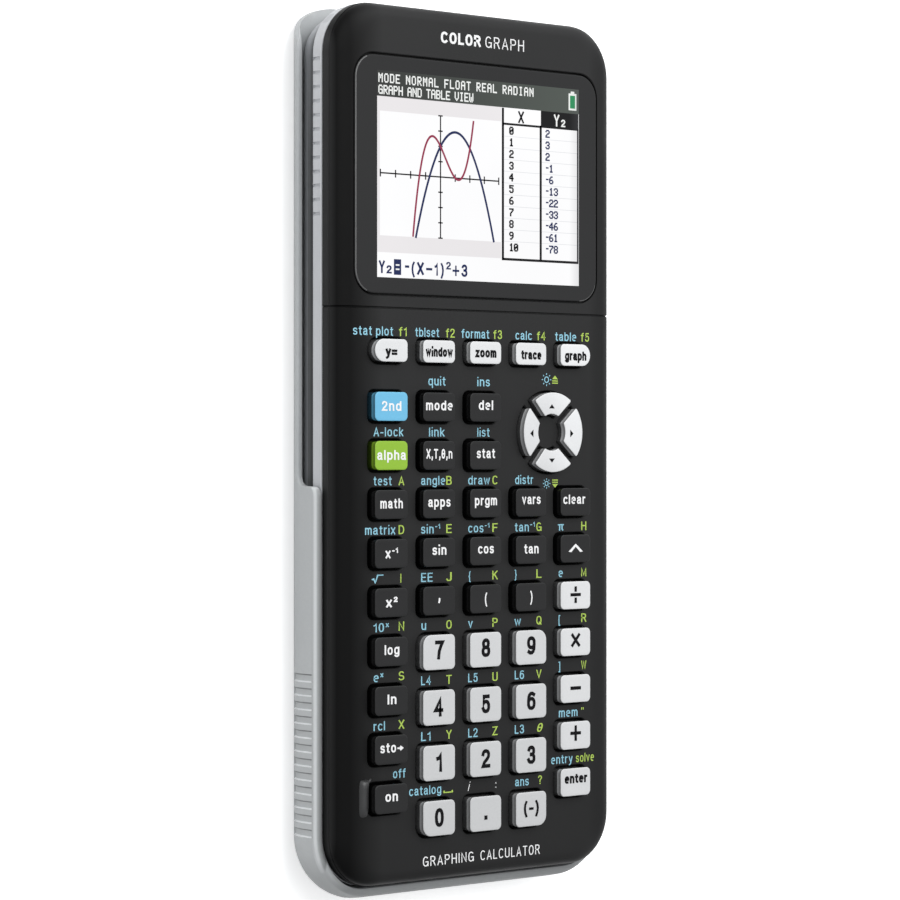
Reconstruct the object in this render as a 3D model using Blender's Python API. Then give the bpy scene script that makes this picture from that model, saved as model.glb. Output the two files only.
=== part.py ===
"""Graphing calculator with a colour display, fifty sprung keys and a sliding hard cover.

The cover is parked on the back, as it is while the calculator is in use.
Frame: +X across the face to the right, +Y up the face towards the display,
+Z out of the keys. z = 0 is the flat back of the cover, x = y = 0 its centre.
Lengths are in millimetres in the constants and metres in the scene.
A span is a (low, high) pair of limits along one axis.
"""
import math
from collections import namedtuple

import bmesh
import bpy
from mathutils import Matrix, Vector

MM = 0.001
OVER = 1.0                    # cutters run past what they cut by this or a multiple of it


def around(centre, width):
    """The span of this width about a centre."""
    return centre - width / 2, centre + width / 2


def grown(span, margin):
    """A span moved outwards at both ends; a negative margin moves it inwards."""
    return span[0] - margin, span[1] + margin


# ---------------------------------------------------------------- shared dimensions
CASE_W = 79.2                 # body width over the side bands
CASE_HALF = CASE_W / 2
CASE_X = around(0.0, CASE_W)
CASE_Y = (-90.8, 93.9)
CASE_R = 11.0                 # plan corner radius
CASE_SEGMENTS = 7
FACE_Z = 17.2                 # flat middle of the face
CEILING_Z = 15.4              # underside of the face plate
PART_Z = 12.67                # front shell meets rear shell here
BACK_Z = 2.0                  # flat back of the rear shell

# screw posts, as x, y
POSTS = [(side * x, y) for x, y in ((30.5, 87.0), (34.6, 14.5), (30.0, -83.2)) for side in (-1, 1)]
POST_R = 2.1

DISPLAY_Y = 58.0              # centre of the window and the display
WINDOW_X = around(0.0, 68.7)
WINDOW_Y = around(DISPLAY_Y, 49.8)
WINDOW_Z = (16.1, FACE_Z)
WINDOW_R = 5.0
WINDOW_SEGMENTS = 5
VIEW_X = around(0.0, 57.6)    # active area of the display
VIEW_Y = around(DISPLAY_Y, 43.2)

BOARD_Z = (10.6, 11.8)
RESET_XY = (24.0, 24.0)
BAY_XY = (0.0, -6.0)          # centre of the battery opening in the back
BAY_X = around(BAY_XY[0], 60.0)
BAY_Y = around(BAY_XY[1], 39.0)

# sockets on the right-hand side: x span, centre y, width, lower z
PORTS = (
    ((27.8, 37.0), 41.0, 7.6, 6.7),   # USB
    ((24.0, 36.9), 29.0, 5.2, 6.2),   # 2.5 mm link
)

# name: base colour, roughness
MATERIAL_TABLE = {
    "black_plastic": ((0.030, 0.030, 0.031), 0.42),
    "silver_plastic": ((0.50, 0.51, 0.52), 0.40),
    "cover_plastic": ((0.42, 0.44, 0.44), 0.42),
    "window": ((0.035, 0.036, 0.037), 0.08),
    "lcd": ((0.75, 0.76, 0.78), 0.30),
    "board": ((0.02, 0.16, 0.07), 0.45),
    "rubber": ((0.55, 0.56, 0.57), 0.75),
    "battery": ((0.05, 0.05, 0.055), 0.50),
    "key_dark": ((0.026, 0.026, 0.027), 0.38),
    "key_pale": ((0.78, 0.79, 0.81), 0.32),
    "key_blue": ((0.10, 0.47, 0.80), 0.32),
    "key_green": ((0.27, 0.60, 0.03), 0.32),
}


# ---------------------------------------------------------------- scene set-up
def new_collection(name):
    collection = bpy.data.collections.new(name)
    bpy.context.scene.collection.children.link(collection)
    return collection


def new_material(name, colour, roughness):
    material = bpy.data.materials.new(name)
    material.use_nodes = True
    inputs = material.node_tree.nodes["Principled BSDF"].inputs
    inputs["Base Color"].default_value = (*colour, 1.0)
    inputs["Roughness"].default_value = roughness
    return material


for old in list(bpy.data.objects):
    bpy.data.objects.remove(old, do_unlink=True)
PARTS = new_collection("graphing_calculator")
CUTTERS = new_collection("cutters")
MATERIALS = {name: new_material(name, *look) for name, look in MATERIAL_TABLE.items()}


# ---------------------------------------------------------------- shapes
def shift(x, y, z):
    return Matrix.Translation(Vector((x, y, z)) * MM)


def add_box(shape, *spans):
    """Adds a box between these x, y and z spans. Returns its vertices."""
    middle = shift(*[(low + high) / 2 for low, high in spans])
    size = Matrix.Diagonal((*[abs(high - low) * MM for low, high in spans], 1.0))
    return bmesh.ops.create_cube(shape, size=1.0, matrix=middle @ size)["verts"]


def add_box_pair(shape, x_span, y_span, z_span):
    """Adds a box and its mirror image across x = 0."""
    for side in (-1, 1):
        add_box(shape, [side * x for x in x_span], y_span, z_span)


def bevel(shape, edges, radius, segments):
    return bmesh.ops.bevel(shape, geom=edges, offset=radius * MM, offset_type="OFFSET",
                           segments=segments, profile=0.5, affect="EDGES", clamp_overlap=True)


def add_round_box(shape, x_span, y_span, z_span, radii, segments, foot=0.0, foot_segments=0):
    """Adds a box with rounded upright edges: one radius, or four from top-left clockwise.
    foot is a radius for the edges of its lower face."""
    if isinstance(radii, float):
        radii = (radii,) * 4
    verts = add_box(shape, x_span, y_span, z_span)
    (x0, x1), (y0, y1) = x_span, y_span
    corners = [Vector(corner) * MM for corner in ((x0, y1), (x1, y1), (x1, y0), (x0, y0))]
    upright = {}
    for edge in {e for v in verts for e in v.link_edges}:
        start, end = (v.co for v in edge.verts)
        if abs(start.z - end.z) > 1e-6:
            nearest = min(range(4), key=lambda k: (start.xy - corners[k]).length)
            upright[nearest] = edge
    touched = set(verts)
    for radius in sorted(set(radii)):
        edges = [upright[k] for k in range(4) if radii[k] == radius]
        touched |= set(bevel(shape, edges, radius, segments)["verts"])
    if foot > 0:
        ring = {e for v in touched if v.is_valid for e in v.link_edges
                if all(abs(end.co.z - z_span[0] * MM) < 1e-7 for end in e.verts)}
        bevel(shape, list(ring), foot, foot_segments)


def round_box(*args, **options):
    """A new shape holding one rounded box; takes what add_round_box does after the shape."""
    shape = bmesh.new()
    add_round_box(shape, *args, **options)
    return shape


def add_cylinder(shape, x, y, z_span, radius, top_radius=None, sides=12):
    """Adds an upright cylinder, or a cone frustum if top_radius is given."""
    low, high = z_span
    bmesh.ops.create_cone(shape, cap_ends=True, segments=sides, radius1=radius * MM,
                          radius2=(top_radius or radius) * MM, depth=(high - low) * MM,
                          matrix=shift(x, y, (low + high) / 2))


def cylinder(*args):
    shape = bmesh.new()
    add_cylinder(shape, *args)
    return shape


def posts(z_span):
    shape = bmesh.new()
    for x, y in POSTS:
        add_cylinder(shape, x, y, z_span, POST_R)
    return shape


def side_grooves(x_span, first_y, pitch, width, z_span):
    """Cutter for twelve grooves in each side, from first_y downwards."""
    shape = bmesh.new()
    for i in range(12):
        add_box_pair(shape, x_span, around(first_y - pitch * i, width), z_span)
    return shape


# where a flat outline (a, b) lies, and which way its thickness runs
SIDEWAYS_X = Matrix(((0, 0, 1, 0), (1, 0, 0, 0), (0, 1, 0, 0), (0, 0, 0, 1)))   # YZ, along X
SIDEWAYS_Y = Matrix(((1, 0, 0, 0), (0, 0, -1, 0), (0, 1, 0, 0), (0, 0, 0, 1)))  # XZ, along Y


def slab(points, thickness, placement):
    """A filled outline, thickened evenly to both sides of its own XY plane, then placed."""
    curve = bpy.data.curves.new("outline", "CURVE")
    curve.dimensions = "2D"
    curve.fill_mode = "BOTH"
    curve.extrude = thickness * MM / 2
    spline = curve.splines.new("POLY")
    spline.points.add(len(points) - 1)
    for point, (a, b) in zip(spline.points, points):
        point.co = (a * MM, b * MM, 0.0, 1.0)
    spline.use_cyclic_u = True
    holder = bpy.data.objects.new("outline", curve)
    bpy.context.scene.collection.objects.link(holder)
    bpy.context.view_layer.update()
    depsgraph = bpy.context.evaluated_depsgraph_get()
    mesh = bpy.data.meshes.new_from_object(holder.evaluated_get(depsgraph))
    shape = bmesh.new()
    shape.from_mesh(mesh)
    shape.transform(placement)
    bmesh.ops.remove_doubles(shape, verts=shape.verts[:], dist=1e-6)
    bpy.data.objects.remove(holder, do_unlink=True)
    bpy.data.meshes.remove(mesh)
    return shape


# ---------------------------------------------------------------- objects
def new_object(name, shape, collection, origin=(0, 0, 0)):
    """Turns a shape into an object and frees the shape."""
    bmesh.ops.recalc_face_normals(shape, faces=shape.faces[:])
    origin = Vector(origin) * MM
    bmesh.ops.translate(shape, verts=shape.verts[:], vec=-origin)
    mesh = bpy.data.meshes.new(name)
    shape.to_mesh(mesh)
    shape.free()
    mesh.shade_smooth()
    mesh.set_sharp_from_angle(angle=math.radians(32))
    obj = bpy.data.objects.new(name, mesh)
    obj.location = origin
    collection.objects.link(obj)
    return obj


def part(name, shape, material, origin=(0, 0, 0)):
    """A piece of the product, with its origin where its joint acts."""
    obj = new_object(name, shape, PARTS, origin)
    obj.data.materials.append(MATERIALS[material])
    return obj


def combine(obj, operation, name, shape):
    """Makes a hidden helper from the shape and applies it to obj as a boolean modifier."""
    helper = new_object(name, shape, CUTTERS)
    helper.hide_render = True
    helper.display_type = "WIRE"
    modifier = obj.modifiers.new(f"{operation.lower()}_{name}", "BOOLEAN")
    modifier.operation = operation
    modifier.object = helper
    modifier.solver = "EXACT"


# ---------------------------------------------------------------- key layout
COL_PITCH = 13.14
COL_X = [COL_PITCH * i for i in range(-2, 3)]
KEY_W = 8.64                  # width of the flat top of a key
FUNC_Y, FUNC_H = 21.19, 4.8   # row of function keys under the display
ROW_PITCH, ROW_2 = 10.228, 9.48
STD_H = 6.1
NUM_PITCH, NUM_7, NUM_H = 11.677, -42.31, 7.45
SMALL_R, FUNC_END_R, NUM_CORNER_R = 0.9, 2.1, 1.9

FUNC_KEYS = ("y_equals", "window", "zoom", "trace", "graph")
STD_ROWS = (                  # rows 2 to 10, from the left-hand column
    ("2nd", "mode", "del"),
    ("alpha", "variable", "stat"),
    ("math", "apps", "prgm", "vars", "clear"),
    ("inverse", "sin", "cos", "tan", "power"),
    ("square", "comma", "paren_open", "paren_close", "divide"),
    ("log", None, None, None, "multiply"),
    ("ln", None, None, None, "minus"),
    ("sto", None, None, None, "plus"),
    ("on", None, None, None, "enter"),
)
NUM_ROWS = (("7", "8", "9"), ("4", "5", "6"), ("1", "2", "3"), ("0", "point", "negate"))
NUM_CORNERS = {"7": 0, "9": 1, "negate": 2, "0": 3}  # which corner is rounder, as in radii
STD_FINISH = {"2nd": "blue", "alpha": "green", "divide": "pale", "multiply": "pale",
              "minus": "pale", "plus": "pale", "enter": "pale"}

# height is that of the flat top; radii run top-left, top-right, bottom-right, bottom-left
Key = namedtuple("Key", "name x y height radii finish")


def row_y(row):
    """Centre of a standard key row, 2 to 10 from the top."""
    return ROW_2 - ROW_PITCH * (row - 2)


def key_table():
    keys = []
    for x, name in zip(COL_X, FUNC_KEYS):
        left = FUNC_END_R if name == FUNC_KEYS[0] else SMALL_R
        right = FUNC_END_R if name == FUNC_KEYS[-1] else SMALL_R
        keys.append(Key(name, x, FUNC_Y, FUNC_H, (left, right, right, left), "pale"))
    for row, names in enumerate(STD_ROWS, start=2):
        for x, name in zip(COL_X, names):
            if name:
                finish = STD_FINISH.get(name, "dark")
                keys.append(Key(name, x, row_y(row), STD_H, (SMALL_R,) * 4, finish))
    for row, names in enumerate(NUM_ROWS):
        for x, name in zip(COL_X[1:], names):
            radii = [SMALL_R] * 4
            if name in NUM_CORNERS:
                radii[NUM_CORNERS[name]] = NUM_CORNER_R
            keys.append(Key(name, x, NUM_7 - NUM_PITCH * row, NUM_H, tuple(radii), "pale"))
    return keys


KEYS = key_table()

# the arrow pad is a ring, split into four keys
ARROWS = {"right": 0.0, "up": math.pi / 2, "left": math.pi, "down": -math.pi / 2}
PAD_X, PAD_Y = 1.5 * COL_PITCH, 4.43
PAD_R, PAD_R_IN, PAD_GAP = 8.6, 4.1, 2.0
ARROW_ORIGIN_R, ARROW_DOME_R = 6.3, 6.4  # distance of origins and domes from the pad centre


def pad_point(direction, radius):
    return PAD_X + radius * math.cos(direction), PAD_Y + radius * math.sin(direction)


# ---------------------------------------------------------------- keys
KEY_TOP = 19.1                # key tops stand 1.9 above the face
FLANGE_Z = (14.3, 15.1)
FLANGE, SKIRT, BREAK = 0.8, 0.3, 0.3  # widths of flange, side taper and broken edge
CAP_MARGIN = SKIRT + BREAK    # the skirt stands this far outside the flat top
KEY_GAP = 0.3
KEY_SEGMENTS = 2
ARROW_FLANGE, ARROW_SKIRT, ARROW_GAP = 0.55, 0.2, 0.28


def add_key_block(shape, key, margin, z_span):
    """Adds the outline of a key's flat top, grown by margin, as a rounded box."""
    add_round_box(shape, grown(around(key.x, KEY_W), margin),
                  grown(around(key.y, key.height), margin), z_span,
                  tuple(r + margin for r in key.radii), KEY_SEGMENTS)


def raise_cap(shape, flange, skirt):
    """Raises a key's cap from its flange: inset, tapered sides, broken edge."""
    shape.normal_update()
    top = max(shape.faces, key=lambda f: f.calc_center_median().z + f.normal.z)
    rise = KEY_TOP - FLANGE_Z[1] - BREAK
    for inset, depth in ((flange, 0.0), (skirt, rise), (BREAK, BREAK)):
        bmesh.ops.inset_individual(shape, faces=[top], thickness=inset * MM, depth=depth * MM,
                                   use_even_offset=True)


def sector(direction, margin):
    """Outline of one arrow key, a quarter of a ring with straight sides along the diagonals,
    as points about the middle of the pad, grown by margin on every side."""
    half_gap = PAD_GAP / 2 - margin
    points = []
    for radius, steps, sign in ((PAD_R + margin, 6, 1), (PAD_R_IN - margin, 4, -1)):
        edge = math.pi / 4 - math.asin(half_gap / radius)
        for i in range(steps + 1):
            angle = sign * (edge - 2 * edge * i / steps) + direction
            points.append((radius * math.cos(angle), radius * math.sin(angle)))
    return points


def make_key(key):
    shape = bmesh.new()
    add_key_block(shape, key, CAP_MARGIN + FLANGE, FLANGE_Z)
    raise_cap(shape, FLANGE, SKIRT)
    part("key_" + key.name, shape, "key_" + key.finish, origin=(key.x, key.y, FLANGE_Z[0]))


def make_arrow_key(name, direction):
    low, high = FLANGE_Z
    shape = slab(sector(direction, ARROW_FLANGE), high - low, shift(PAD_X, PAD_Y, (low + high) / 2))
    # merges the fill triangles, so that the top is one face
    bmesh.ops.dissolve_limit(shape, angle_limit=math.radians(1), verts=shape.verts[:],
                             edges=shape.edges[:])
    bmesh.ops.recalc_face_normals(shape, faces=shape.faces[:])
    raise_cap(shape, ARROW_FLANGE, ARROW_SKIRT)
    part("key_" + name, shape, "key_pale", origin=(*pad_point(direction, ARROW_ORIGIN_R), low))


# ---------------------------------------------------------------- front shell
WALL = 1.8
ROLL_X, ROLL_DROP = 32.5, 2.3  # face rolls down outside this x, by this much
ROLL_STEPS = 6
SHOULDER = 1.2                # face cutter's upright edge below the roll
WINDOW_GAP, WINDOW_GAP_Z = 0.3, 0.1  # around and under the window
OPENING_MARGIN, OPENING_R = 1.6, 1.5  # display opening outside the active area
GUARD_W, GUARD_H, GUARD_R, GUARD_GAP = 1.7, 7.8, 0.8, 0.25
GUARD_Z = (CEILING_Z + 0.4, FACE_Z + 0.75)
BOSS_Z = (PART_Z + 0.2, CEILING_Z + 0.3)


def face_section():
    """XZ section: flat in the middle, rolling down in an arc towards both sides."""
    run = CASE_HALF - ROLL_X
    radius = (run * run + ROLL_DROP * ROLL_DROP) / (2 * ROLL_DROP)
    arc = []
    for i in range(ROLL_STEPS + 1):
        across = run * i / ROLL_STEPS
        arc.append((ROLL_X + across, FACE_Z - radius + math.sqrt(radius ** 2 - across ** 2)))
    side, low, shoulder = CASE_HALF + 2 * OVER, PART_Z - 3 * OVER, arc[-1][1] - SHOULDER
    return [(-side, low), (side, low), (side, shoulder), *arc[::-1],
            *[(-x, z) for x, z in arc], (-side, shoulder)]


def on_key_guard():
    right = COL_X[0] - KEY_W / 2 - CAP_MARGIN - KEY_GAP - GUARD_GAP
    return round_box((right - GUARD_W, right), around(row_y(10), GUARD_H), GUARD_Z, GUARD_R, 2)


def key_openings():
    shape = bmesh.new()
    for key in KEYS:
        add_key_block(shape, key, CAP_MARGIN + KEY_GAP, (CEILING_Z - OVER, FACE_Z + 3 * OVER))
    return shape


def make_front_case():
    front = part("front_case", round_box(CASE_X, CASE_Y, (PART_Z, FACE_Z + OVER), CASE_R,
                                         CASE_SEGMENTS), "black_plastic")
    combine(front, "INTERSECT", "face_section", slab(face_section(), 220.0, SIDEWAYS_Y))
    combine(front, "DIFFERENCE", "front_inside",
            round_box(grown(CASE_X, -WALL), grown(CASE_Y, -WALL), (PART_Z - OVER, CEILING_Z),
                      CASE_R - WALL, 5))
    # the two steps of the display opening
    combine(front, "DIFFERENCE", "window_recess",
            round_box(grown(WINDOW_X, WINDOW_GAP), grown(WINDOW_Y, WINDOW_GAP),
                      (WINDOW_Z[0] - WINDOW_GAP_Z, FACE_Z + 2 * OVER),
                      WINDOW_R + WINDOW_GAP, WINDOW_SEGMENTS))
    combine(front, "DIFFERENCE", "display_opening",
            round_box(grown(VIEW_X, OPENING_MARGIN), grown(VIEW_Y, OPENING_MARGIN),
                      (CEILING_Z - OVER, FACE_Z + 2 * OVER), OPENING_R, 2))
    combine(front, "UNION", "on_key_guard", on_key_guard())
    combine(front, "UNION", "front_bosses", posts(BOSS_Z))
    combine(front, "DIFFERENCE", "key_openings", key_openings())
    for name, direction in ARROWS.items():
        combine(front, "DIFFERENCE", "arrow_opening_" + name,
                slab(sector(direction, ARROW_GAP), 6.0, shift(PAD_X, PAD_Y, FACE_Z)))


# ---------------------------------------------------------------- display
LCD_W, LCD_H = 64.0, 49.6
LCD_FRAME_Z, LCD_GLASS_Z = (12.1, 14.9), (13.1, 15.8)
GLASS_MARGIN = 1.2            # glass outside the active area


def make_display():
    window = round_box(WINDOW_X, WINDOW_Y, WINDOW_Z, WINDOW_R, WINDOW_SEGMENTS)
    part("display_window", window, "window")
    frame = bmesh.new()
    add_box(frame, around(0.0, LCD_W), around(DISPLAY_Y, LCD_H), LCD_FRAME_Z)
    lcd = part("lcd_module", frame, "lcd")
    # glass cell standing up from the light-guide frame, into the opening
    glass = bmesh.new()
    add_box(glass, grown(VIEW_X, GLASS_MARGIN), grown(VIEW_Y, GLASS_MARGIN), LCD_GLASS_Z)
    combine(lcd, "UNION", "lcd_glass", glass)


# ---------------------------------------------------------------- keypad sheet and circuit board
MEMBRANE_X, MEMBRANE_Y, MEMBRANE_Z = (-32.0, 32.0), (-79.8, 26.0), (12.1, 12.6)
BOARD_X, BOARD_Y = (-32.2, 32.2), (-80.0, 84.0)
SHEET_R = 2.0                 # plan corners of both
DOME_Z = (MEMBRANE_Z[0] + 0.3, 13.15)  # its top is the dome's height when pressed home
DOME_R, DOME_TOP_R = 2.7, 1.6
COMPONENT_TOP = BOARD_Z[0] + 0.3  # components are sunk this far into the board's back
COMPONENTS = (                # x span, y span, lower z
    *[(x_span, around(y, width), low) for x_span, y, width, low in PORTS],
    ((-22.0, 2.0), (40.0, 45.5), 8.6),    # display flex connector
    ((-12.0, 6.0), (55.0, 69.0), 9.2),    # processor
    (around(RESET_XY[0], 4.8), around(RESET_XY[1], 4.8), 9.9),  # reset switch
    ((-27.0, -20.0), (20.0, 27.0), 6.2),  # battery connector
)


def make_membrane():
    membrane = part("keypad_membrane",
                    round_box(MEMBRANE_X, MEMBRANE_Y, MEMBRANE_Z, SHEET_R, 2), "rubber")
    domes = bmesh.new()  # one collapsing dome under each key
    spots = [(key.x, key.y) for key in KEYS]
    spots += [pad_point(direction, ARROW_DOME_R) for direction in ARROWS.values()]
    for x, y in spots:
        add_cylinder(domes, x, y, DOME_Z, DOME_R, DOME_TOP_R, sides=6)
    combine(membrane, "UNION", "domes", domes)


def make_board():
    board = part("main_board", round_box(BOARD_X, BOARD_Y, BOARD_Z, SHEET_R, 2), "board")
    components = bmesh.new()
    for x_span, y_span, low in COMPONENTS:
        add_box(components, x_span, y_span, (low, COMPONENT_TOP))
    combine(board, "UNION", "board_components", components)


# ---------------------------------------------------------------- battery and its door
PACK_W, PACK_H, PACK_Z, PACK_R = 55.0, 35.0, (3.95, 9.6), 2.0
DOOR_GAP, DOOR_T, DOOR_R = 0.25, 1.3, 2.2
TONGUE_X, TONGUE_W = 20.0, 6.0
TONGUE_REACH, TONGUE_T = 1.6, 0.65
TONGUE_NECK = 0.5             # the riser stops this far inside the upper edge of the opening
TONGUE_ROOT_Z, TONGUE_HOOK_Z = BACK_Z + 1.0, BACK_Z + 1.95
DOOR_HOLE_Y, DOOR_HOLE_R = BAY_Y[0] + 3.6, 1.5


def make_battery():
    pack = round_box(around(BAY_XY[0], PACK_W), around(BAY_XY[1], PACK_H), PACK_Z, PACK_R, 2)
    part("battery_pack", pack, "battery")


def make_battery_door():
    """Outer plate with two stepped tongues at its upper edge and a screw hole near its lower."""
    door = part("battery_door",
                round_box(grown(BAY_X, -DOOR_GAP), grown(BAY_Y, -DOOR_GAP),
                          (BACK_Z, BACK_Z + DOOR_T), DOOR_R, 3), "silver_plastic")
    edge = BAY_Y[1]
    root, neck, tip = edge - TONGUE_REACH, edge - TONGUE_NECK, edge + TONGUE_REACH
    top = TONGUE_HOOK_Z + TONGUE_T
    tongue = [(root, TONGUE_ROOT_Z), (neck, TONGUE_ROOT_Z), (neck, TONGUE_HOOK_Z),
              (tip, TONGUE_HOOK_Z), (tip, top), (root, top)]
    for side, sign in (("left", -1), ("right", 1)):
        placement = shift(BAY_XY[0] + sign * TONGUE_X, 0, 0) @ SIDEWAYS_X
        combine(door, "UNION", "door_tongue_" + side, slab(tongue, TONGUE_W, placement))
    combine(door, "DIFFERENCE", "door_screw_hole",
            cylinder(BAY_XY[0], DOOR_HOLE_Y, (BACK_Z - 0.5 * OVER, BACK_Z + 2 * OVER), DOOR_HOLE_R))


# ---------------------------------------------------------------- rear shell
SHELL_GAP = 0.15              # hairline between the two shells
BAND_Z = 9.0                  # lower edge of the wide side band
TUB_INSET = 1.95              # rear tub is inside the band by this much on every side
TUB_OVERLAP = 0.6             # tub runs up into the band
TUB_FOOT = 3.5                # rounding of the tub's back edge
FLOOR = 1.6                   # thickness of the rear shell
REAR_POST_Z = (BACK_Z + 1.4, PART_Z - 0.05)
BAY_R, BAY_EXTRA = 2.4, 0.25  # battery opening: corners, and depth beyond the floor
RESET_HOLE_R = 1.5
PORT_CUT_X, PORT_CUT_TOP = (34.0, CASE_HALF + 2 * OVER), 11.2
PORT_GAP, PORT_GAP_Z = 0.4, 0.3  # beside and below each socket
BAND_GROOVE_DEPTH, BAND_GROOVE_W, BAND_GROOVE_Z = 0.35, 0.46, (9.3, 12.0)
BAND_GROOVE_Y, BAND_GROOVE_PITCH = 81.84, 2.935


def rear_openings():
    """Battery opening, reset hole and socket openings."""
    shape = round_box(BAY_X, BAY_Y, (BACK_Z - OVER, BACK_Z + FLOOR + BAY_EXTRA), BAY_R, 3)
    add_cylinder(shape, *RESET_XY, (BACK_Z - OVER, BACK_Z + FLOOR + OVER), RESET_HOLE_R)
    for _, y, width, low in PORTS:
        add_box(shape, PORT_CUT_X, grown(around(y, width), PORT_GAP),
                (low - PORT_GAP_Z, PORT_CUT_TOP))
    return shape


def make_rear_case():
    rear = part("rear_case", round_box(CASE_X, CASE_Y, (BAND_Z, PART_Z - SHELL_GAP), CASE_R,
                                       CASE_SEGMENTS), "silver_plastic")
    tub_x, tub_y = grown(CASE_X, -TUB_INSET), grown(CASE_Y, -TUB_INSET)
    tub_r = CASE_R - TUB_INSET
    combine(rear, "UNION", "rear_tub",
            round_box(tub_x, tub_y, (BACK_Z, BAND_Z + TUB_OVERLAP), tub_r, CASE_SEGMENTS,
                      foot=TUB_FOOT, foot_segments=3))
    combine(rear, "DIFFERENCE", "rear_inside",
            round_box(grown(tub_x, -FLOOR), grown(tub_y, -FLOOR),
                      (BACK_Z + FLOOR, PART_Z + 2 * OVER), tub_r - FLOOR, 5))
    combine(rear, "UNION", "rear_posts", posts(REAR_POST_Z))
    combine(rear, "DIFFERENCE", "rear_openings", rear_openings())
    # thumb grooves in the side bands, beside the display
    combine(rear, "DIFFERENCE", "side_grooves",
            side_grooves((CASE_HALF - BAND_GROOVE_DEPTH, CASE_HALF + OVER), BAND_GROOVE_Y,
                         BAND_GROOVE_PITCH, BAND_GROOVE_W, BAND_GROOVE_Z))


# ---------------------------------------------------------------- reset button
PLUNGER_Z, PLUNGER_R = (BACK_Z + 0.4, 9.3), 1.3
COLLAR_Z, COLLAR_R = (4.2, 5.0), 2.3


def make_reset_button():
    """Plunger recessed in the back, under its switch."""
    reset = part("reset_button", cylinder(*RESET_XY, PLUNGER_Z, PLUNGER_R), "silver_plastic",
                 origin=(*RESET_XY, PLUNGER_Z[0]))
    combine(reset, "UNION", "reset_collar", cylinder(*RESET_XY, COLLAR_Z, COLLAR_R))


# ---------------------------------------------------------------- sliding cover
COVER_HALF = 82.4 / 2
COVER_Y0, COVER_Y1 = -94.0, 94.0
COVER_R, COVER_R_IN = 14.0, 11.5
COVER_SEGMENTS = 7
COVER_EDGE_R, COVER_EDGE_R_IN = 8.0, 6.0
COVER_T, COVER_END_T, COVER_FLOOR = 1.3, 2.6, 1.7
COVER_HALF_IN = COVER_HALF - COVER_T
RIM_HIGH, RIM_LOW, RIM_TIP = 13.4, 6.8, 1.95
STEP_Y = -7.05                # upright part of the step in the rim
STEP_R_TOP, STEP_R_FOOT = 2.0, 2.5
STEP_SEGMENTS = 4
TIP_Y0, TIP_Y1 = COVER_Y1 - COVER_R + 0.5, COVER_Y1 - COVER_R + 10.0  # rim falls to its tip
TIP_STEPS = 5
RAIL_X, RAIL_Y, RAIL_Z = (38.0, COVER_HALF_IN + 0.6), (-76.0, -12.0), (6.9, 8.6)
COVER_GROOVE_DEPTH, COVER_GROOVE_W, COVER_GROOVE_Z = 0.4, 1.65, (3.4, 11.2)
COVER_GROOVE_Y, COVER_GROOVE_PITCH = -46.955, 2.93


def rim_section():
    """YZ section of what is cut away above the side walls: they are high below the step,
    low above it, and fall nearly to the floor at the top end."""
    points = [(STEP_Y - STEP_R_TOP, RIM_HIGH + 6 * OVER)]
    quarter = [math.pi / 2 * i / STEP_SEGMENTS for i in range(STEP_SEGMENTS + 1)]
    for angle in quarter:
        points.append((STEP_Y - STEP_R_TOP * (1 - math.sin(angle)),
                       RIM_HIGH - STEP_R_TOP * (1 - math.cos(angle))))
    for angle in quarter:
        points.append((STEP_Y + STEP_R_FOOT * (1 - math.cos(angle)),
                       RIM_LOW + STEP_R_FOOT * (1 - math.sin(angle))))
    for i in range(TIP_STEPS + 1):
        u = i / TIP_STEPS
        ease = 3 * u * u - 2 * u ** 3
        points.append((TIP_Y0 + (TIP_Y1 - TIP_Y0) * u, RIM_LOW + (RIM_TIP - RIM_LOW) * ease))
    end = COVER_Y1 + 5 * OVER
    return points + [(end, RIM_TIP), (end, RIM_HIGH + 6 * OVER)]


def make_cover():
    outer_x = (-COVER_HALF, COVER_HALF)
    cover = part("slide_cover",
                 round_box(outer_x, (COVER_Y0, COVER_Y1 + 25 * OVER), (0.0, RIM_HIGH), COVER_R,
                           COVER_SEGMENTS, foot=COVER_EDGE_R, foot_segments=5), "cover_plastic")
    # the upper end is cut square across, with rounded corners
    combine(cover, "INTERSECT", "cover_plan",
            round_box(grown(outer_x, OVER), (COVER_Y0 - 20 * OVER, COVER_Y1),
                      (-OVER, RIM_HIGH + OVER), COVER_R, COVER_SEGMENTS))
    # closed at the lower end and open through the upper end
    combine(cover, "DIFFERENCE", "cover_hollow",
            round_box((-COVER_HALF_IN, COVER_HALF_IN),
                      (COVER_Y0 + COVER_END_T, COVER_Y1 + 30 * OVER),
                      (COVER_FLOOR, RIM_HIGH + 5 * OVER), COVER_R_IN, COVER_SEGMENTS,
                      foot=COVER_EDGE_R_IN, foot_segments=4))
    combine(cover, "DIFFERENCE", "rim_section", slab(rim_section(), 120.0, SIDEWAYS_X))
    rails = bmesh.new()  # they run under the side bands and hold the cover on
    add_box_pair(rails, RAIL_X, RAIL_Y, RAIL_Z)
    combine(cover, "UNION", "cover_rails", rails)
    # finger grooves near the lower end
    combine(cover, "DIFFERENCE", "cover_grooves",
            side_grooves((COVER_HALF - COVER_GROOVE_DEPTH, COVER_HALF + OVER), COVER_GROOVE_Y,
                         COVER_GROOVE_PITCH, COVER_GROOVE_W, COVER_GROOVE_Z))


# ---------------------------------------------------------------- build
for key in KEYS:
    make_key(key)
for name, direction in ARROWS.items():
    make_arrow_key(name, direction)
make_front_case()
make_display()
make_membrane()
make_board()
make_battery()
make_battery_door()
make_rear_case()
make_reset_button()
make_cover()
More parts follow.
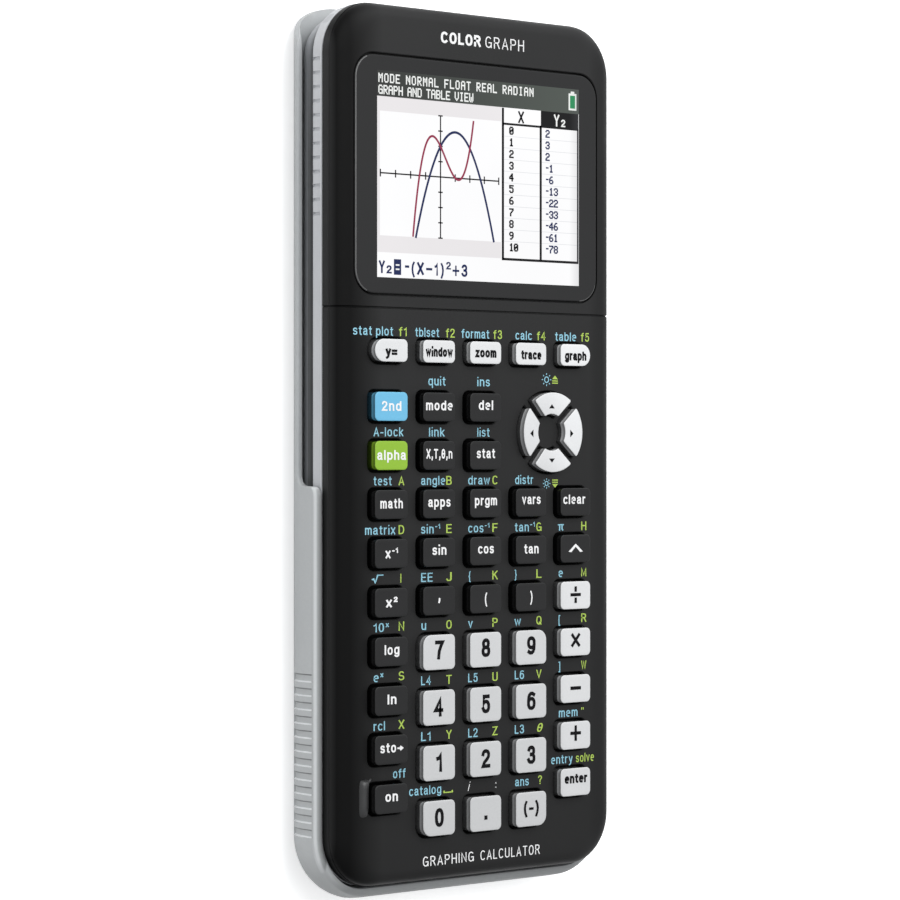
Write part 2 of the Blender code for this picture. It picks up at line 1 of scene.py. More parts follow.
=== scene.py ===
"""Looks of a graphing calculator and its sliding cover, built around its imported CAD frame.

Frame: +X across the face to the right, +Y up the face, +Z out of the keys, metres.
The calculator lies on its back in the cover, over a floor just below z = 0.
Lengths are millimetres until a mesh is made; positions inside materials are metres.
"""
import math
from collections import namedtuple

import bmesh
import bpy
from mathutils import Matrix, Vector


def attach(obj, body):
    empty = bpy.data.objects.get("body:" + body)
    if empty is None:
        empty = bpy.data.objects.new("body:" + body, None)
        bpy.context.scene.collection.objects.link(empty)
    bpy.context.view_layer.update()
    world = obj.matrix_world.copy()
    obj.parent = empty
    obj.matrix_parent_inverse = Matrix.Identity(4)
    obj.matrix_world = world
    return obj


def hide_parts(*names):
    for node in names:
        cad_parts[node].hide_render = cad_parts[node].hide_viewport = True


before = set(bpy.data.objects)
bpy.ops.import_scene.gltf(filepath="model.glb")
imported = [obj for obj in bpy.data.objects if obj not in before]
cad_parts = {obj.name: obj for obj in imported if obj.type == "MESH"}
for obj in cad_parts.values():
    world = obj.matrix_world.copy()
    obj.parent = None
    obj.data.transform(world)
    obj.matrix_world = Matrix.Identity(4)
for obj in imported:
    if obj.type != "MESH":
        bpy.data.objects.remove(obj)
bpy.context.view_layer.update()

MM = 0.001
COS, SIN = math.cos, math.sin
SCENE = bpy.context.scene
LOOKS = bpy.data.collections.new("calculator_looks")
SCENE.collection.children.link(LOOKS)

# ------------------------------------------------------------------ sizes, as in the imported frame
FACE = 17.2                           # height of the flat face
CASE_X, CASE_Y0, CASE_Y1 = 39.6, -90.8, 93.9    # half width, lower end, upper end
CASE_R = 11.0                         # plan radius of the case's corners
ROLL_START = (0.18, 0.13, 14.95)      # inset at the sides, inset at the ends, height
ROLL_SIDE, ROLL_END = 7.4, 3.0        # insets where the rolled edge meets the flat face

COLUMN_X = (-26.28, -13.14, 0.0, 13.14, 26.28)
KEY_W, KEY_H, KEY_TOP = 8.64, 6.1, 19.1
ROW_2, ROW_PITCH = 9.48, 10.228
TOP_ROW_Y, TOP_ROW_H = 21.19, 4.8
NUMBER_Y, NUMBER_PITCH, NUMBER_H = -42.31, 11.677, 7.45
NUMBER_ROWS = [NUMBER_Y - NUMBER_PITCH * row for row in range(4)]

PAD_X, PAD_Y = 19.80, 4.25            # centre of the arrow keys
PAD_R, PAD_R_IN, PAD_GAP = 8.76, 3.93, 2.0
PAD_HUB_SHIFT = -0.45                 # the inner arcs are centred this far along X
DIRECTIONS = {"right": 0.0, "up": math.pi / 2, "left": math.pi, "down": -math.pi / 2}

WINDOW_Y, WINDOW_W, WINDOW_H, WINDOW_R = 58.0, 68.7, 49.8, 5.0
DOT = 0.18                            # pitch of the display's dots, 320 by 240
DISPLAY_X, DISPLAY_Y = 0.28 - 28.8, 58.09 + 21.6    # its top left dot
PRINT_LIFT = 0.012                    # printing stands this far off its surface

BAY_Y, BAY_W, BAY_H, BAY_R = -6.0, 60.0, 39.0, 2.4
RESET_X, RESET_Y = 24, 24
SCREW_POSTS = ((-30.5, 87.0), (30.5, 87.0), (-33.0, 14.5), (33.0, 14.5),
               (-30.0, -83.2), (30.0, -83.2))
PORT_Y = {"link": 41.0, "data": 29.0}


# ------------------------------------------------------------------ materials
class Net:
    """A small wrapper for building a node tree."""

    def __init__(self, data, shader="Principled BSDF", coordinates="Object"):
        data.use_nodes = True
        self.data = data
        self.tree = data.node_tree
        self.shader = self.tree.nodes[shader]
        self.coord = self.add("ShaderNodeTexCoord").outputs[coordinates]

    def add(self, kind, **props):
        node = self.tree.nodes.new(kind)
        for key, value in props.items():
            setattr(node, key, value)
        return node

    def put(self, socket, value):
        """Links a socket, or sets it to a number or an RGB colour."""
        if isinstance(value, bpy.types.NodeSocket):
            self.tree.links.new(value, socket)
        else:
            socket.default_value = (*value, 1.0) if isinstance(value, tuple) else value

    def surface(self, inputs):
        for key, value in inputs.items():
            self.put(self.shader.inputs[key], value)

    def noise(self, scale, detail=2.0, rough=0.5):
        node = self.add("ShaderNodeTexNoise")
        node.inputs["Scale"].default_value = scale
        node.inputs["Detail"].default_value = detail
        node.inputs["Roughness"].default_value = rough
        self.put(node.inputs["Vector"], self.coord)
        return node.outputs["Fac"]

    def span(self, value, over=(0.3, 0.7), to=(0.0, 1.0)):
        """Maps one range onto another, clamped. The default range is a noise's working range."""
        node = self.add("ShaderNodeMapRange")
        for socket, number in zip(node.inputs, (value, *over, *to)):
            self.put(socket, number)
        return node.outputs[0]

    def mix(self, fac, first, second):
        node = self.add("ShaderNodeMix", data_type="RGBA")
        for index, value in ((0, fac), (6, first), (7, second)):
            self.put(node.inputs[index], value)
        return node.outputs[2]

    def math(self, operation, first, second=0.0):
        node = self.add("ShaderNodeMath", operation=operation)
        self.put(node.inputs[0], first)
        self.put(node.inputs[1], second)
        return node.outputs[0]

    def product(self, first, *others):
        for other in others:
            first = self.math("MULTIPLY", first, other)
        return first

    def bump(self, height, strength, distance, under=None):
        node = self.add("ShaderNodeBump")
        node.inputs["Strength"].default_value = strength
        node.inputs["Distance"].default_value = distance
        self.put(node.inputs["Height"], height)
        if under:
            self.put(node.inputs["Normal"], under)
        return node.outputs["Normal"]

    def axes(self, vector):
        node = self.add("ShaderNodeSeparateXYZ")
        self.put(node.inputs[0], vector)
        return node.outputs

    def facing(self):
        return self.axes(self.add("ShaderNodeNewGeometry").outputs["Normal"])


def material_net(name):
    return Net(bpy.data.materials.new(name))


def tinted(rgb, factor, plus=0.0):
    return tuple(min(1.0, c * factor + plus) for c in rgb)


def plastic(name, rgb, rough=0.4, grain=1600.0, grain_depth=0.018, spread=0.07, wear=0.10,
            wear_rgb=None, spec=0.4, smear=1.0, detail=None):
    """Moulded plastic: fine grain, slow colour drift, uneven polish, paler edges that are partly wear
    and partly a painted highlight.

    grain is the grain's scale and grain_depth its depth in mm; spread is the colour drift;
    smear scales the unevenness. detail(net, colour, rgb, drift, fine) returns a new colour.
    """
    net = material_net(name)
    drift = net.noise(scale=38.0, detail=3.0)
    fine = net.noise(scale=grain, rough=0.6)
    colour = net.mix(net.span(drift), tinted(rgb, 1 - spread), tinted(rgb, 1 + spread))
    colour = net.mix(net.span(fine, over=(0.35, 0.65), to=(0.0, 0.35)), colour, tinted(rgb, 0.9))
    # paler pointed edges: partly wear, partly a painted highlight along the edges
    if wear > 0:
        point = net.add("ShaderNodeNewGeometry").outputs["Pointiness"]
        scuff = net.noise(scale=420.0, detail=3.0)
        edge = net.product(net.span(point, over=(0.52, 0.60)),
                           net.span(scuff, over=(0.35, 0.7), to=(0.3, 1.0)), wear)
        colour = net.mix(edge, colour, wear_rgb or tinted(rgb, 1.6, plus=0.04))
    if detail:
        colour = detail(net, colour, rgb, drift, fine)
    cloud = net.noise(scale=95.0, detail=4.0, rough=0.65)
    slow = net.bump(net.noise(scale=240.0), strength=0.10 * smear, distance=0.00002 * smear)
    net.surface({
        "Base Color": colour,
        "Roughness": net.span(cloud, over=(0.25, 0.75),
                              to=(rough - 0.05 * smear, rough + 0.06 * smear)),
        "Coat Roughness": 0.15,
        "Normal": net.bump(fine, strength=0.35, distance=grain_depth * MM, under=slow),
    })
    if not net.shader.inputs["Specular IOR Level"].is_linked:    # a detail may drive it
        net.surface({"Specular IOR Level": spec})
    return net.data


def rolled_sides(net, colour, rgb, drift, fine):
    """Painted shade: the rolled sides are painted darker and given less sheen than the face between
    them, and the face is painted darker towards its lower end.
    """
    gloss = 0.21
    x, y, z = net.axes(net.coord)
    off = net.math("ABSOLUTE", x)
    # painted shade on the rolled sides, stronger on the left one
    roll = net.math("MAXIMUM", net.span(x, over=(-0.0355, -0.0270), to=(1.0, 0.0)),
                    net.span(x, over=(0.0320, 0.0365), to=(0.0, 0.5)))
    side = net.product(roll, net.span(off, over=(0.0385, 0.0393), to=(1.0, 0.35)))
    # painted shade: the face darkens towards its lower end
    lower = net.span(y, over=(-0.090, 0.090), to=(0.36, 0.0))
    colour = net.mix(lower, colour, (0.0, 0.0, 0.0))
    gloss_here = net.span(side, over=(0.0, 1.0), to=(gloss, gloss * 0.30))
    net.surface({"Specular IOR Level": gloss_here})
    return net.mix(side, colour, tinted(rgb, 0.22))


def runner_grime(net, colour, rgb, drift, fine):
    """Painted shade in the side channel: near black towards the band above it, and painted paler
    towards the upper end.
    """
    x, y, z = net.axes(net.coord)
    # painted shade: paler towards the upper end, near black up under the band
    colour = net.mix(net.span(y, over=(0.062, 0.085)), colour, (0.46, 0.47, 0.49))
    return net.mix(net.span(z, over=(0.0058, 0.0072), to=(0.0, 0.85)), colour, (0.01, 0.01, 0.01))


def handled_cover(net, colour, rgb, drift, fine):
    """Painted light on the cover: shade on its lower end, highlight and shade on its grip ribs, and a
    shade line, a highlight and a darker top on its raised side walls.
    """
    end_shade_depth = 0.44
    nx, ny, nz = net.facing()
    x, y, z = net.axes(net.coord)
    # painted shade on the lower end: its downward-facing wall and the rim top near it
    wall = net.span(ny, over=(-0.98, -0.30), to=(end_shade_depth * 0.8, 0.0))
    rim = net.product(net.span(y, over=(-0.0915, -0.0880), to=(end_shade_depth, 0.0)),
                      net.span(nz, over=(0.10, 0.35)))
    end = net.product(net.math("MAXIMUM", wall, rim), net.span(drift, to=(0.93, 1.0)))
    colour = net.mix(end, colour, (0.02, 0.02, 0.02))
    # grip ribs: painted highlight on the upper flanks, painted shade on the lower ones
    aside = net.math("ABSOLUTE", x)
    grip = net.product(net.span(y, over=(-0.0815, -0.0812)),
                       net.span(y, over=(-0.0450, -0.0447), to=(1.0, 0.0)),
                       net.span(aside, over=(0.0392, 0.0396)))
    pale = net.product(grip, net.span(ny, to=(0.0, 0.85)))
    colour = net.mix(pale, colour, (0.95, 0.97, 0.98))
    dark = net.product(grip, net.span(ny, over=(-0.7, -0.3), to=(0.42, 0.0)))
    colour = net.mix(dark, colour, (0.03, 0.03, 0.03))
    # raised side wall: a painted shade line, a painted highlight along its rounded edge and a top
    # painted darker
    upper = net.product(net.span(y, over=(-0.0885, -0.0850)), net.span(z, over=(0.0110, 0.0113)),
                        net.span(aside, over=(0.0385, 0.0388)))
    seam = net.product(net.span(z, over=(0.0116, 0.0118), to=(0.09, 0.0)),
                       net.span(nz, over=(0.05, 0.10), to=(1.0, 0.0)))
    arris = net.product(net.span(nz, over=(0.03, 0.16)),
                        net.span(nz, over=(0.45, 0.72), to=(1.0, 0.0)))
    top = net.math("MAXIMUM", net.span(nz, over=(0.573, 1.0), to=(0.0, 0.65)),
                   net.span(aside, over=(0.0389, 0.0402), to=(0.65, 0.0)))
    top = net.product(top, net.span(nz, over=(0.30, 0.60)))
    shade = net.product(upper, net.math("MAXIMUM", seam, top))
    colour = net.mix(shade, colour, (0.02, 0.02, 0.02))
    # painted highlight on the raised wall's rounded edge
    polish = net.product(upper, net.product(arris, 0.50))
    return net.mix(polish, colour, (0.88, 0.90, 0.91))


def key_plastic(name, rgb, glint, flank_shade=0.77, shade_falloff=False, grain_depth=0.008, rough=0.36, **finish):
    """Key caps. glint sets the painted highlight on the upper edge, flank the painted shade on the
    sides.
    """
    foot_shade = 0.97

    def detail(net, colour, rgb, drift, fine):
        if shade_falloff:    # painted shade: the lower keys darker, the last column lighter
            x, y, z = net.axes(net.coord)
            tone = net.math("ADD", net.span(y, over=(-0.080, 0.022), to=(0.735, 1.0)),
                            net.span(x, over=(0.0180, 0.0240), to=(0.0, 0.10)))
            scale = net.add("ShaderNodeVectorMath", operation="SCALE")
            net.put(scale.inputs[0], colour)
            net.put(scale.inputs["Scale"], tone)
            colour = scale.outputs[0]
        # painted highlight on the upper edges
        nx, ny, nz = net.facing()
        edge_glint = net.product(net.span(ny, over=(0.25, 0.70), to=(0.0, glint)),
                          net.span(nz, over=(0.10, 0.40)))
        colour = net.mix(edge_glint, colour, tinted(rgb, 1.5, plus=0.05))
        # painted shade on the flanks, darkest at their feet
        x, y, z = net.axes(net.coord)
        flank_shading = net.product(net.span(z, over=(0.0178, 0.0189), to=(0.14 * flank_shade, flank_shade)),
                          net.span(z, over=(0.01895, 0.01903), to=(1.0, 0.0)))
        foot = net.span(z, over=(0.01768, 0.01788), to=(foot_shade, 0.0))
        painted_flank_shade = net.product(net.math("MAXIMUM", flank_shading, foot), net.span(fine, to=(0.93, 1.0)))
        return net.mix(painted_flank_shade, colour, tinted(rgb, 0.04))

    return plastic(name, rgb, rough=rough, grain=2400.0, grain_depth=grain_depth, detail=detail,
                   **finish)


def ink(name, rgb, spec=0.3):
    """Printed ink: slightly uneven cover with a soft sheen."""
    net = material_net(name)
    cover = net.noise(scale=5200.0, rough=0.6)
    net.surface({
        "Base Color": net.mix(net.span(cover, over=(0.3, 0.6)), tinted(rgb, 0.86), rgb),
        "Roughness": net.span(net.noise(scale=900.0), to=(0.5 - 0.06, 0.5 + 0.08)),
        "Specular IOR Level": spec,
        "Normal": net.bump(cover, strength=0.15, distance=0.000006),
    })
    return net.data


def lit(name, rgb, rgb_right=None, cells=True):
    """Lit dots of the display behind its cover; rgb_right is the colour at its right edge."""
    net = material_net(name)
    x, y, z = net.axes(net.coord)
    colour = rgb
    if rgb_right:
        colour = net.mix(net.span(x, over=(-0.0288, 0.0288)), rgb, rgb_right)

    def gaps(along):
        cell = net.math("FRACT", net.product(along, 1.0 / (DOT * MM)))
        return net.span(net.math("ABSOLUTE", net.math("SUBTRACT", cell, 0.5)), over=(0.40, 0.50))

    raster = net.product(net.math("MAXIMUM", gaps(x), gaps(y)), 0.10) if cells else 0.0
    shade = net.mix(raster, colour, (0.0, 0.0, 0.0))
    uneven = net.span(net.noise(scale=26.0), to=(0.0, 0.05))
    shade = net.mix(uneven, shade, (0.02, 0.02, 0.02))
    # the glow falls off towards the right edge
    edge = net.span(x, over=(0.0262, 0.0288), to=(0.0, 0.22))
    net.surface({
        "Base Color": (0.01, 0.01, 0.01),
        "Emission Color": net.mix(edge, shade, (0.10, 0.10, 0.11)),
        "Emission Strength": 1.0,
        "Roughness": 0.22,
        "Specular IOR Level": 0.12,
    })
    return net.data


def metal(name, rgb, rough):
    net = material_net(name)
    brushed = net.noise(scale=2600.0, detail=4.0, rough=0.7)
    net.surface({
        "Base Color": net.mix(net.span(brushed), tinted(rgb, 0.8), rgb),
        "Roughness": net.span(net.noise(scale=300.0, detail=3.0), to=(rough - 0.08, rough + 0.12)),
        "Metallic": 1.0,
        "Normal": net.bump(brushed, strength=0.25, distance=0.000012),
    })
    return net.data


def circuit(name):
    """Green solder mask over tracks, with bare metal pads."""
    net = material_net(name)
    brick = net.add("ShaderNodeTexBrick")
    pads = net.add("ShaderNodeTexVoronoi")
    for node, inputs in (
        (brick, {"Scale": 260.0, "Mortar Size": 0.03, "Color1": (0.012, 0.13, 0.055),
                 "Color2": (0.015, 0.17, 0.07), "Mortar": (0.006, 0.07, 0.03)}),
        (pads, {"Scale": 330.0, "Randomness": 0.55}),
    ):
        for key, value in inputs.items():
            net.put(node.inputs[key], value)
        net.put(node.inputs["Vector"], net.coord)
    bare = net.span(pads.outputs["Distance"], over=(0.16, 0.19), to=(1.0, 0.0))
    net.surface({
        "Base Color": net.mix(bare, brick.outputs["Color"], (0.72, 0.62, 0.38)),
        "Metallic": net.product(bare, 0.9),
        "Roughness": net.span(net.noise(scale=500.0), to=(0.28, 0.42)),
        "Normal": net.bump(brick.outputs["Fac"], strength=0.2, distance=0.00002),
    })
    return net.data


def floor_paper(name):
    """A pale lit table top: it glows for the camera only."""
    net = material_net(name)
    tone = net.mix(net.span(net.noise(scale=3.0, detail=3.0)), (0.93,) * 3, (0.95,) * 3)
    speckle = net.span(net.noise(scale=700.0), to=(0.0, 0.3))
    camera_ray = net.add("ShaderNodeLightPath").outputs["Is Camera Ray"]
    net.surface({
        "Base Color": net.mix(speckle, tone, (0.935,) * 3),
        "Roughness": net.span(net.noise(scale=60.0), to=(0.80, 0.88)),
        "Specular IOR Level": 0.12,
        "Normal": net.bump(net.noise(scale=900.0), strength=0.05, distance=0.00002),
        "Emission Strength": net.product(camera_ray, 0.50),
        "Emission Color": (1.0, 1.0, 1.0),
    })
    return net.data


MATERIALS = {
    "black": plastic("case_black", (0.022, 0.022, 0.0222), rough=0.44, grain=2100.0,
                     grain_depth=0.012, wear=0.02, detail=rolled_sides),
    # painted highlight: a paler, glossier copy of the case black for the guard ridge
    "guard": plastic("guard_black", (0.034, 0.034, 0.0345), rough=0.38, grain=2100.0,
                     grain_depth=0.008, wear=0.15, wear_rgb=(0.12, 0.12, 0.12), spec=0.55),
    "silver": plastic("band_silver", (0.60, 0.61, 0.63), rough=0.36, grain=2600.0,
                      grain_depth=0.008, spread=0.035, wear=0.15, wear_rgb=(0.85, 0.86, 0.88),
                      spec=0.5),
    "tub": plastic("tub_silver", (0.50, 0.51, 0.53), grain=2600.0, grain_depth=0.010,
                   spread=0.04, wear_rgb=(0.7, 0.71, 0.73), spec=0.45),
    # painted shade: the channel under the band is a darker grey than the tub
    "channel": plastic("channel_grey", (0.27, 0.275, 0.28), rough=0.5, grain=2000.0,
                       grain_depth=0.012, spread=0.05, wear=0.05, spec=0.3,
                       detail=runner_grime),
    "cover": plastic("cover_grey", (0.50, 0.515, 0.52), grain=1500.0, grain_depth=0.016,
                     spread=0.04, wear=0.22, wear_rgb=(0.84, 0.85, 0.86), spec=0.45,
                     detail=handled_cover),
    "window": plastic("window_black", (0.027, 0.027, 0.0275), rough=0.25, grain=3000.0,
                      grain_depth=0.002, spread=0.02, wear=0.0, spec=0.18, smear=0.25),
    # painted highlight: a paler copy of the window black for its bevel
    "window_edge_highlight": plastic("window_bevel", (0.12, 0.12, 0.12), rough=0.25, grain=3000.0,
                           grain_depth=0.002, spread=0.05, wear=0.0, spec=0.5),
    # near black: painted shade on the key flanges seen through the gaps, and the battery lead's wires
    "slot_black": plastic("slot_black", (0.004, 0.004, 0.004), rough=0.6, wear=0.0, spec=0.1),
    "key_dark": key_plastic("key_black", (0.019, 0.019, 0.0195), glint=0.5, flank_shade=0.95,
                            rough=0.40, grain_depth=0.010, wear=0.3,
                            wear_rgb=(0.13, 0.13, 0.13), spec=0.22),
    "key_pale": key_plastic("key_white", (0.775, 0.78, 0.785), glint=0.6, shade_falloff=True,
                            spread=0.02, wear_rgb=(0.93, 0.93, 0.93)),
    "key_blue": key_plastic("key_blue", (0.165, 0.52, 0.78), glint=0.35, spread=0.03,
                            wear=0.14, wear_rgb=(0.45, 0.75, 0.95)),
    "key_green": key_plastic("key_green", (0.29, 0.52, 0.035), glint=0.35, spread=0.03,
                             wear=0.14, wear_rgb=(0.6, 0.85, 0.3)),
    "rubber": plastic("rubber_grey", (0.42, 0.43, 0.44), rough=0.72, grain=900.0,
                      grain_depth=0.02, wear=0.0, spec=0.3),
    "battery": plastic("battery_wrap", (0.05, 0.055, 0.07), rough=0.32, grain=700.0,
                       grain_depth=0.01, spec=0.5),
    "lcd_body": plastic("lcd_frame", (0.62, 0.63, 0.65), rough=0.28, grain=1800.0,
                        grain_depth=0.006, wear=0.0, spec=0.6),
    "chip": plastic("chip_black", (0.025, 0.025, 0.027), rough=0.5, grain=3000.0),
    "steel": metal("screw_steel", (0.62, 0.62, 0.63), rough=0.28),
    "gold": metal("contact_gold", (0.85, 0.62, 0.25), rough=0.25),
    "board": circuit("board_green"),
    "ink_white": ink("ink_white", (0.95, 0.95, 0.95)),
    "ink_black": ink("ink_black", (0.007, 0.007, 0.008), spec=0.08),
    "ink_blue": ink("ink_blue", (0.32, 0.65, 0.79)),
    "ink_green": ink("ink_green", (0.47, 0.65, 0.11)),
    "label": plastic("label_film", (0.70, 0.71, 0.72), rough=0.3, grain=1500.0,
                     grain_depth=0.004, wear=0.0),
    "floor": floor_paper("floor_paper"),
}
for tint, options in {
    "white": dict(rgb=(1.02, 1.02, 1.03)),
    "grey": dict(rgb=(0.86, 0.835, 0.85)),
    "bar": dict(rgb=(0.036, 0.038, 0.036), rgb_right=(0.085, 0.10, 0.088)),
    "text": dict(rgb=(0.93, 0.95, 0.93), cells=False),
    "black": dict(rgb=(0.001, 0.001, 0.002)),
    "red": dict(rgb=(0.31, 0.028, 0.075), cells=False),
    "navy": dict(rgb=(0.010, 0.020, 0.095), cells=False),
    "green": dict(rgb=(0.02, 0.30, 0.11)),
    "rule": dict(rgb=(0.76, 0.77, 0.80)),
}.items():
    MATERIALS["display_" + tint] = lit("display_" + tint, **options)


# ------------------------------------------------------------------ outlines and solids
# A solid is a pair: vertices in millimetres, and faces.
def quarter(steps):
    """Sine and cosine at each step of a quarter turn, without its start."""
    angles = [math.radians(90 * k / steps) for k in range(1, steps + 1)]
    return [(SIN(a), COS(a)) for a in angles]


def outline(x0, x1, y0, y1, radii, steps=8):
    """Rounded rectangle, anticlockwise from the right side's lower end.

    radii is one number, or (top left, top right, bottom right, bottom left).
    """
    tl, tr, br, bl = (radii,) * 4 if isinstance(radii, (int, float)) else radii
    points = []
    for cx, cy, r, start in ((x1 - br, y0 + br, br, -90), (x1 - tr, y1 - tr, tr, 0),
                             (x0 + tl, y1 - tl, tl, 90), (x0 + bl, y0 + bl, bl, 180)):
        for i in range(steps + 1):
            a = math.radians(start + 90 * i / steps)
            points.append((cx + r * COS(a), cy + r * SIN(a)))
    return points


def grown_outline(x, y, width, height, grow, radii, steps):
    """A rounded rectangle about (x, y), moved outwards by grow."""
    return outline(x - width / 2 - grow, x + width / 2 + grow, y - height / 2 - grow,
                   y + height / 2 + grow, tuple(r + grow for r in radii), steps)


def circle(cx, cy, r, count=24):
    angles = [2 * math.pi * i / count for i in range(count)]
    return [(cx + r * COS(a), cy + r * SIN(a)) for a in angles]


def lift(points, z):
    return [(x, y, z) for x, y in points]


def upright(points, x):
    """Points given as (y, z), placed at x."""
    return [(x, y, z) for y, z in points]


def disc(x, y, r, z, count=24):
    return lift(circle(x, y, r, count), z)


def body_ring(inset_x, inset_y, z, r):
    return lift(outline(-CASE_X + inset_x, CASE_X - inset_x, CASE_Y0 + inset_y,
                        CASE_Y1 - inset_y, r, 12), z)


def bridge(first, second, count):
    """Faces between two closed rings, given the number of each ring's first vertex."""
    return [(first + i, first + (i + 1) % count, second + (i + 1) % count, second + i)
            for i in range(count)]


def skin(rings, capped=True, loop=False):
    """Skins a stack of equal rings. loop joins the last ring to the first instead of capping."""
    count = len(rings[0])
    verts = [p for ring in rings for p in ring]
    faces = []
    for k in range(len(rings) if loop else len(rings) - 1):
        faces += bridge(k * count, ((k + 1) % len(rings)) * count, count)
    if capped and not loop:
        faces.append(tuple(range(count - 1, -1, -1)))
        faces.append(tuple(range((len(rings) - 1) * count, len(rings) * count)))
    return verts, faces


def flipped(solid):
    return solid[0], [tuple(reversed(face)) for face in solid[1]]


def merged(solids):
    verts, faces = [], []
    for more_verts, more_faces in solids:
        start = len(verts)
        verts += more_verts
        faces += [tuple(i + start for i in face) for face in more_faces]
    return verts, faces


def raised(solid, height):
    return [(x, y, height + z) for x, y, z in solid[0]], solid[1]


# ------------------------------------------------------------------ meshes and objects
def mesh_of(name, solid):
    mesh = bpy.data.meshes.new(name)
    mesh.from_pydata([(x * MM, y * MM, z * MM) for x, y, z in solid[0]], [], solid[1])
    return mesh


def link_object(name, data):
    part = bpy.data.objects.new(name, data)
    LOOKS.objects.link(part)
    return part


def tidy(part, angle):
    """Shades smooth, keeping edges sharper than angle."""
    part.data.shade_smooth()
    part.data.set_sharp_from_angle(angle=math.radians(angle))


def piece(name, solid, materials, face_materials=None, angle=35.0, smooth=True):
    mesh = mesh_of(name, solid)
    for key in materials:
        mesh.materials.append(MATERIALS[key])
    if face_materials:
        mesh.polygons.foreach_set("material_index", face_materials)
    mesh.validate()
    part = link_object(name, mesh)
    if smooth:
        tidy(part, angle)
    return part


def face_outward(mesh, weld=False):
    bm = bmesh.new()
    bm.from_mesh(mesh)
    if weld:
        bmesh.ops.remove_doubles(bm, verts=bm.verts[:], dist=0.003 * MM)
        bmesh.ops.dissolve_degenerate(bm, edges=bm.edges[:], dist=0.001 * MM)
    bmesh.ops.recalc_face_normals(bm, faces=bm.faces[:])
    bm.to_mesh(mesh)
    bm.free()


def carve(part, solid, operation="DIFFERENCE"):
    """Applies a Boolean with a solid and throws the cutter away."""
    cutter = link_object("cutter", mesh_of("cutter", solid))
    face_outward(cutter.data)
    modifier = part.modifiers.new("carve", "BOOLEAN")
    modifier.operation, modifier.object, modifier.solver = operation, cutter, "EXACT"
    bpy.context.view_layer.update()
    graph = bpy.context.evaluated_depsgraph_get()
    mesh = bpy.data.meshes.new_from_object(part.evaluated_get(graph))
    old = part.data
    part.modifiers.clear()
    part.data = mesh
    bpy.data.meshes.remove(old)
    bpy.data.objects.remove(cutter, do_unlink=True)


def fit(part, replaces=None, rides="calculator"):
    """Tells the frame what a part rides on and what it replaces."""
    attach(part, rides)
    if replaces:
        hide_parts(replaces)


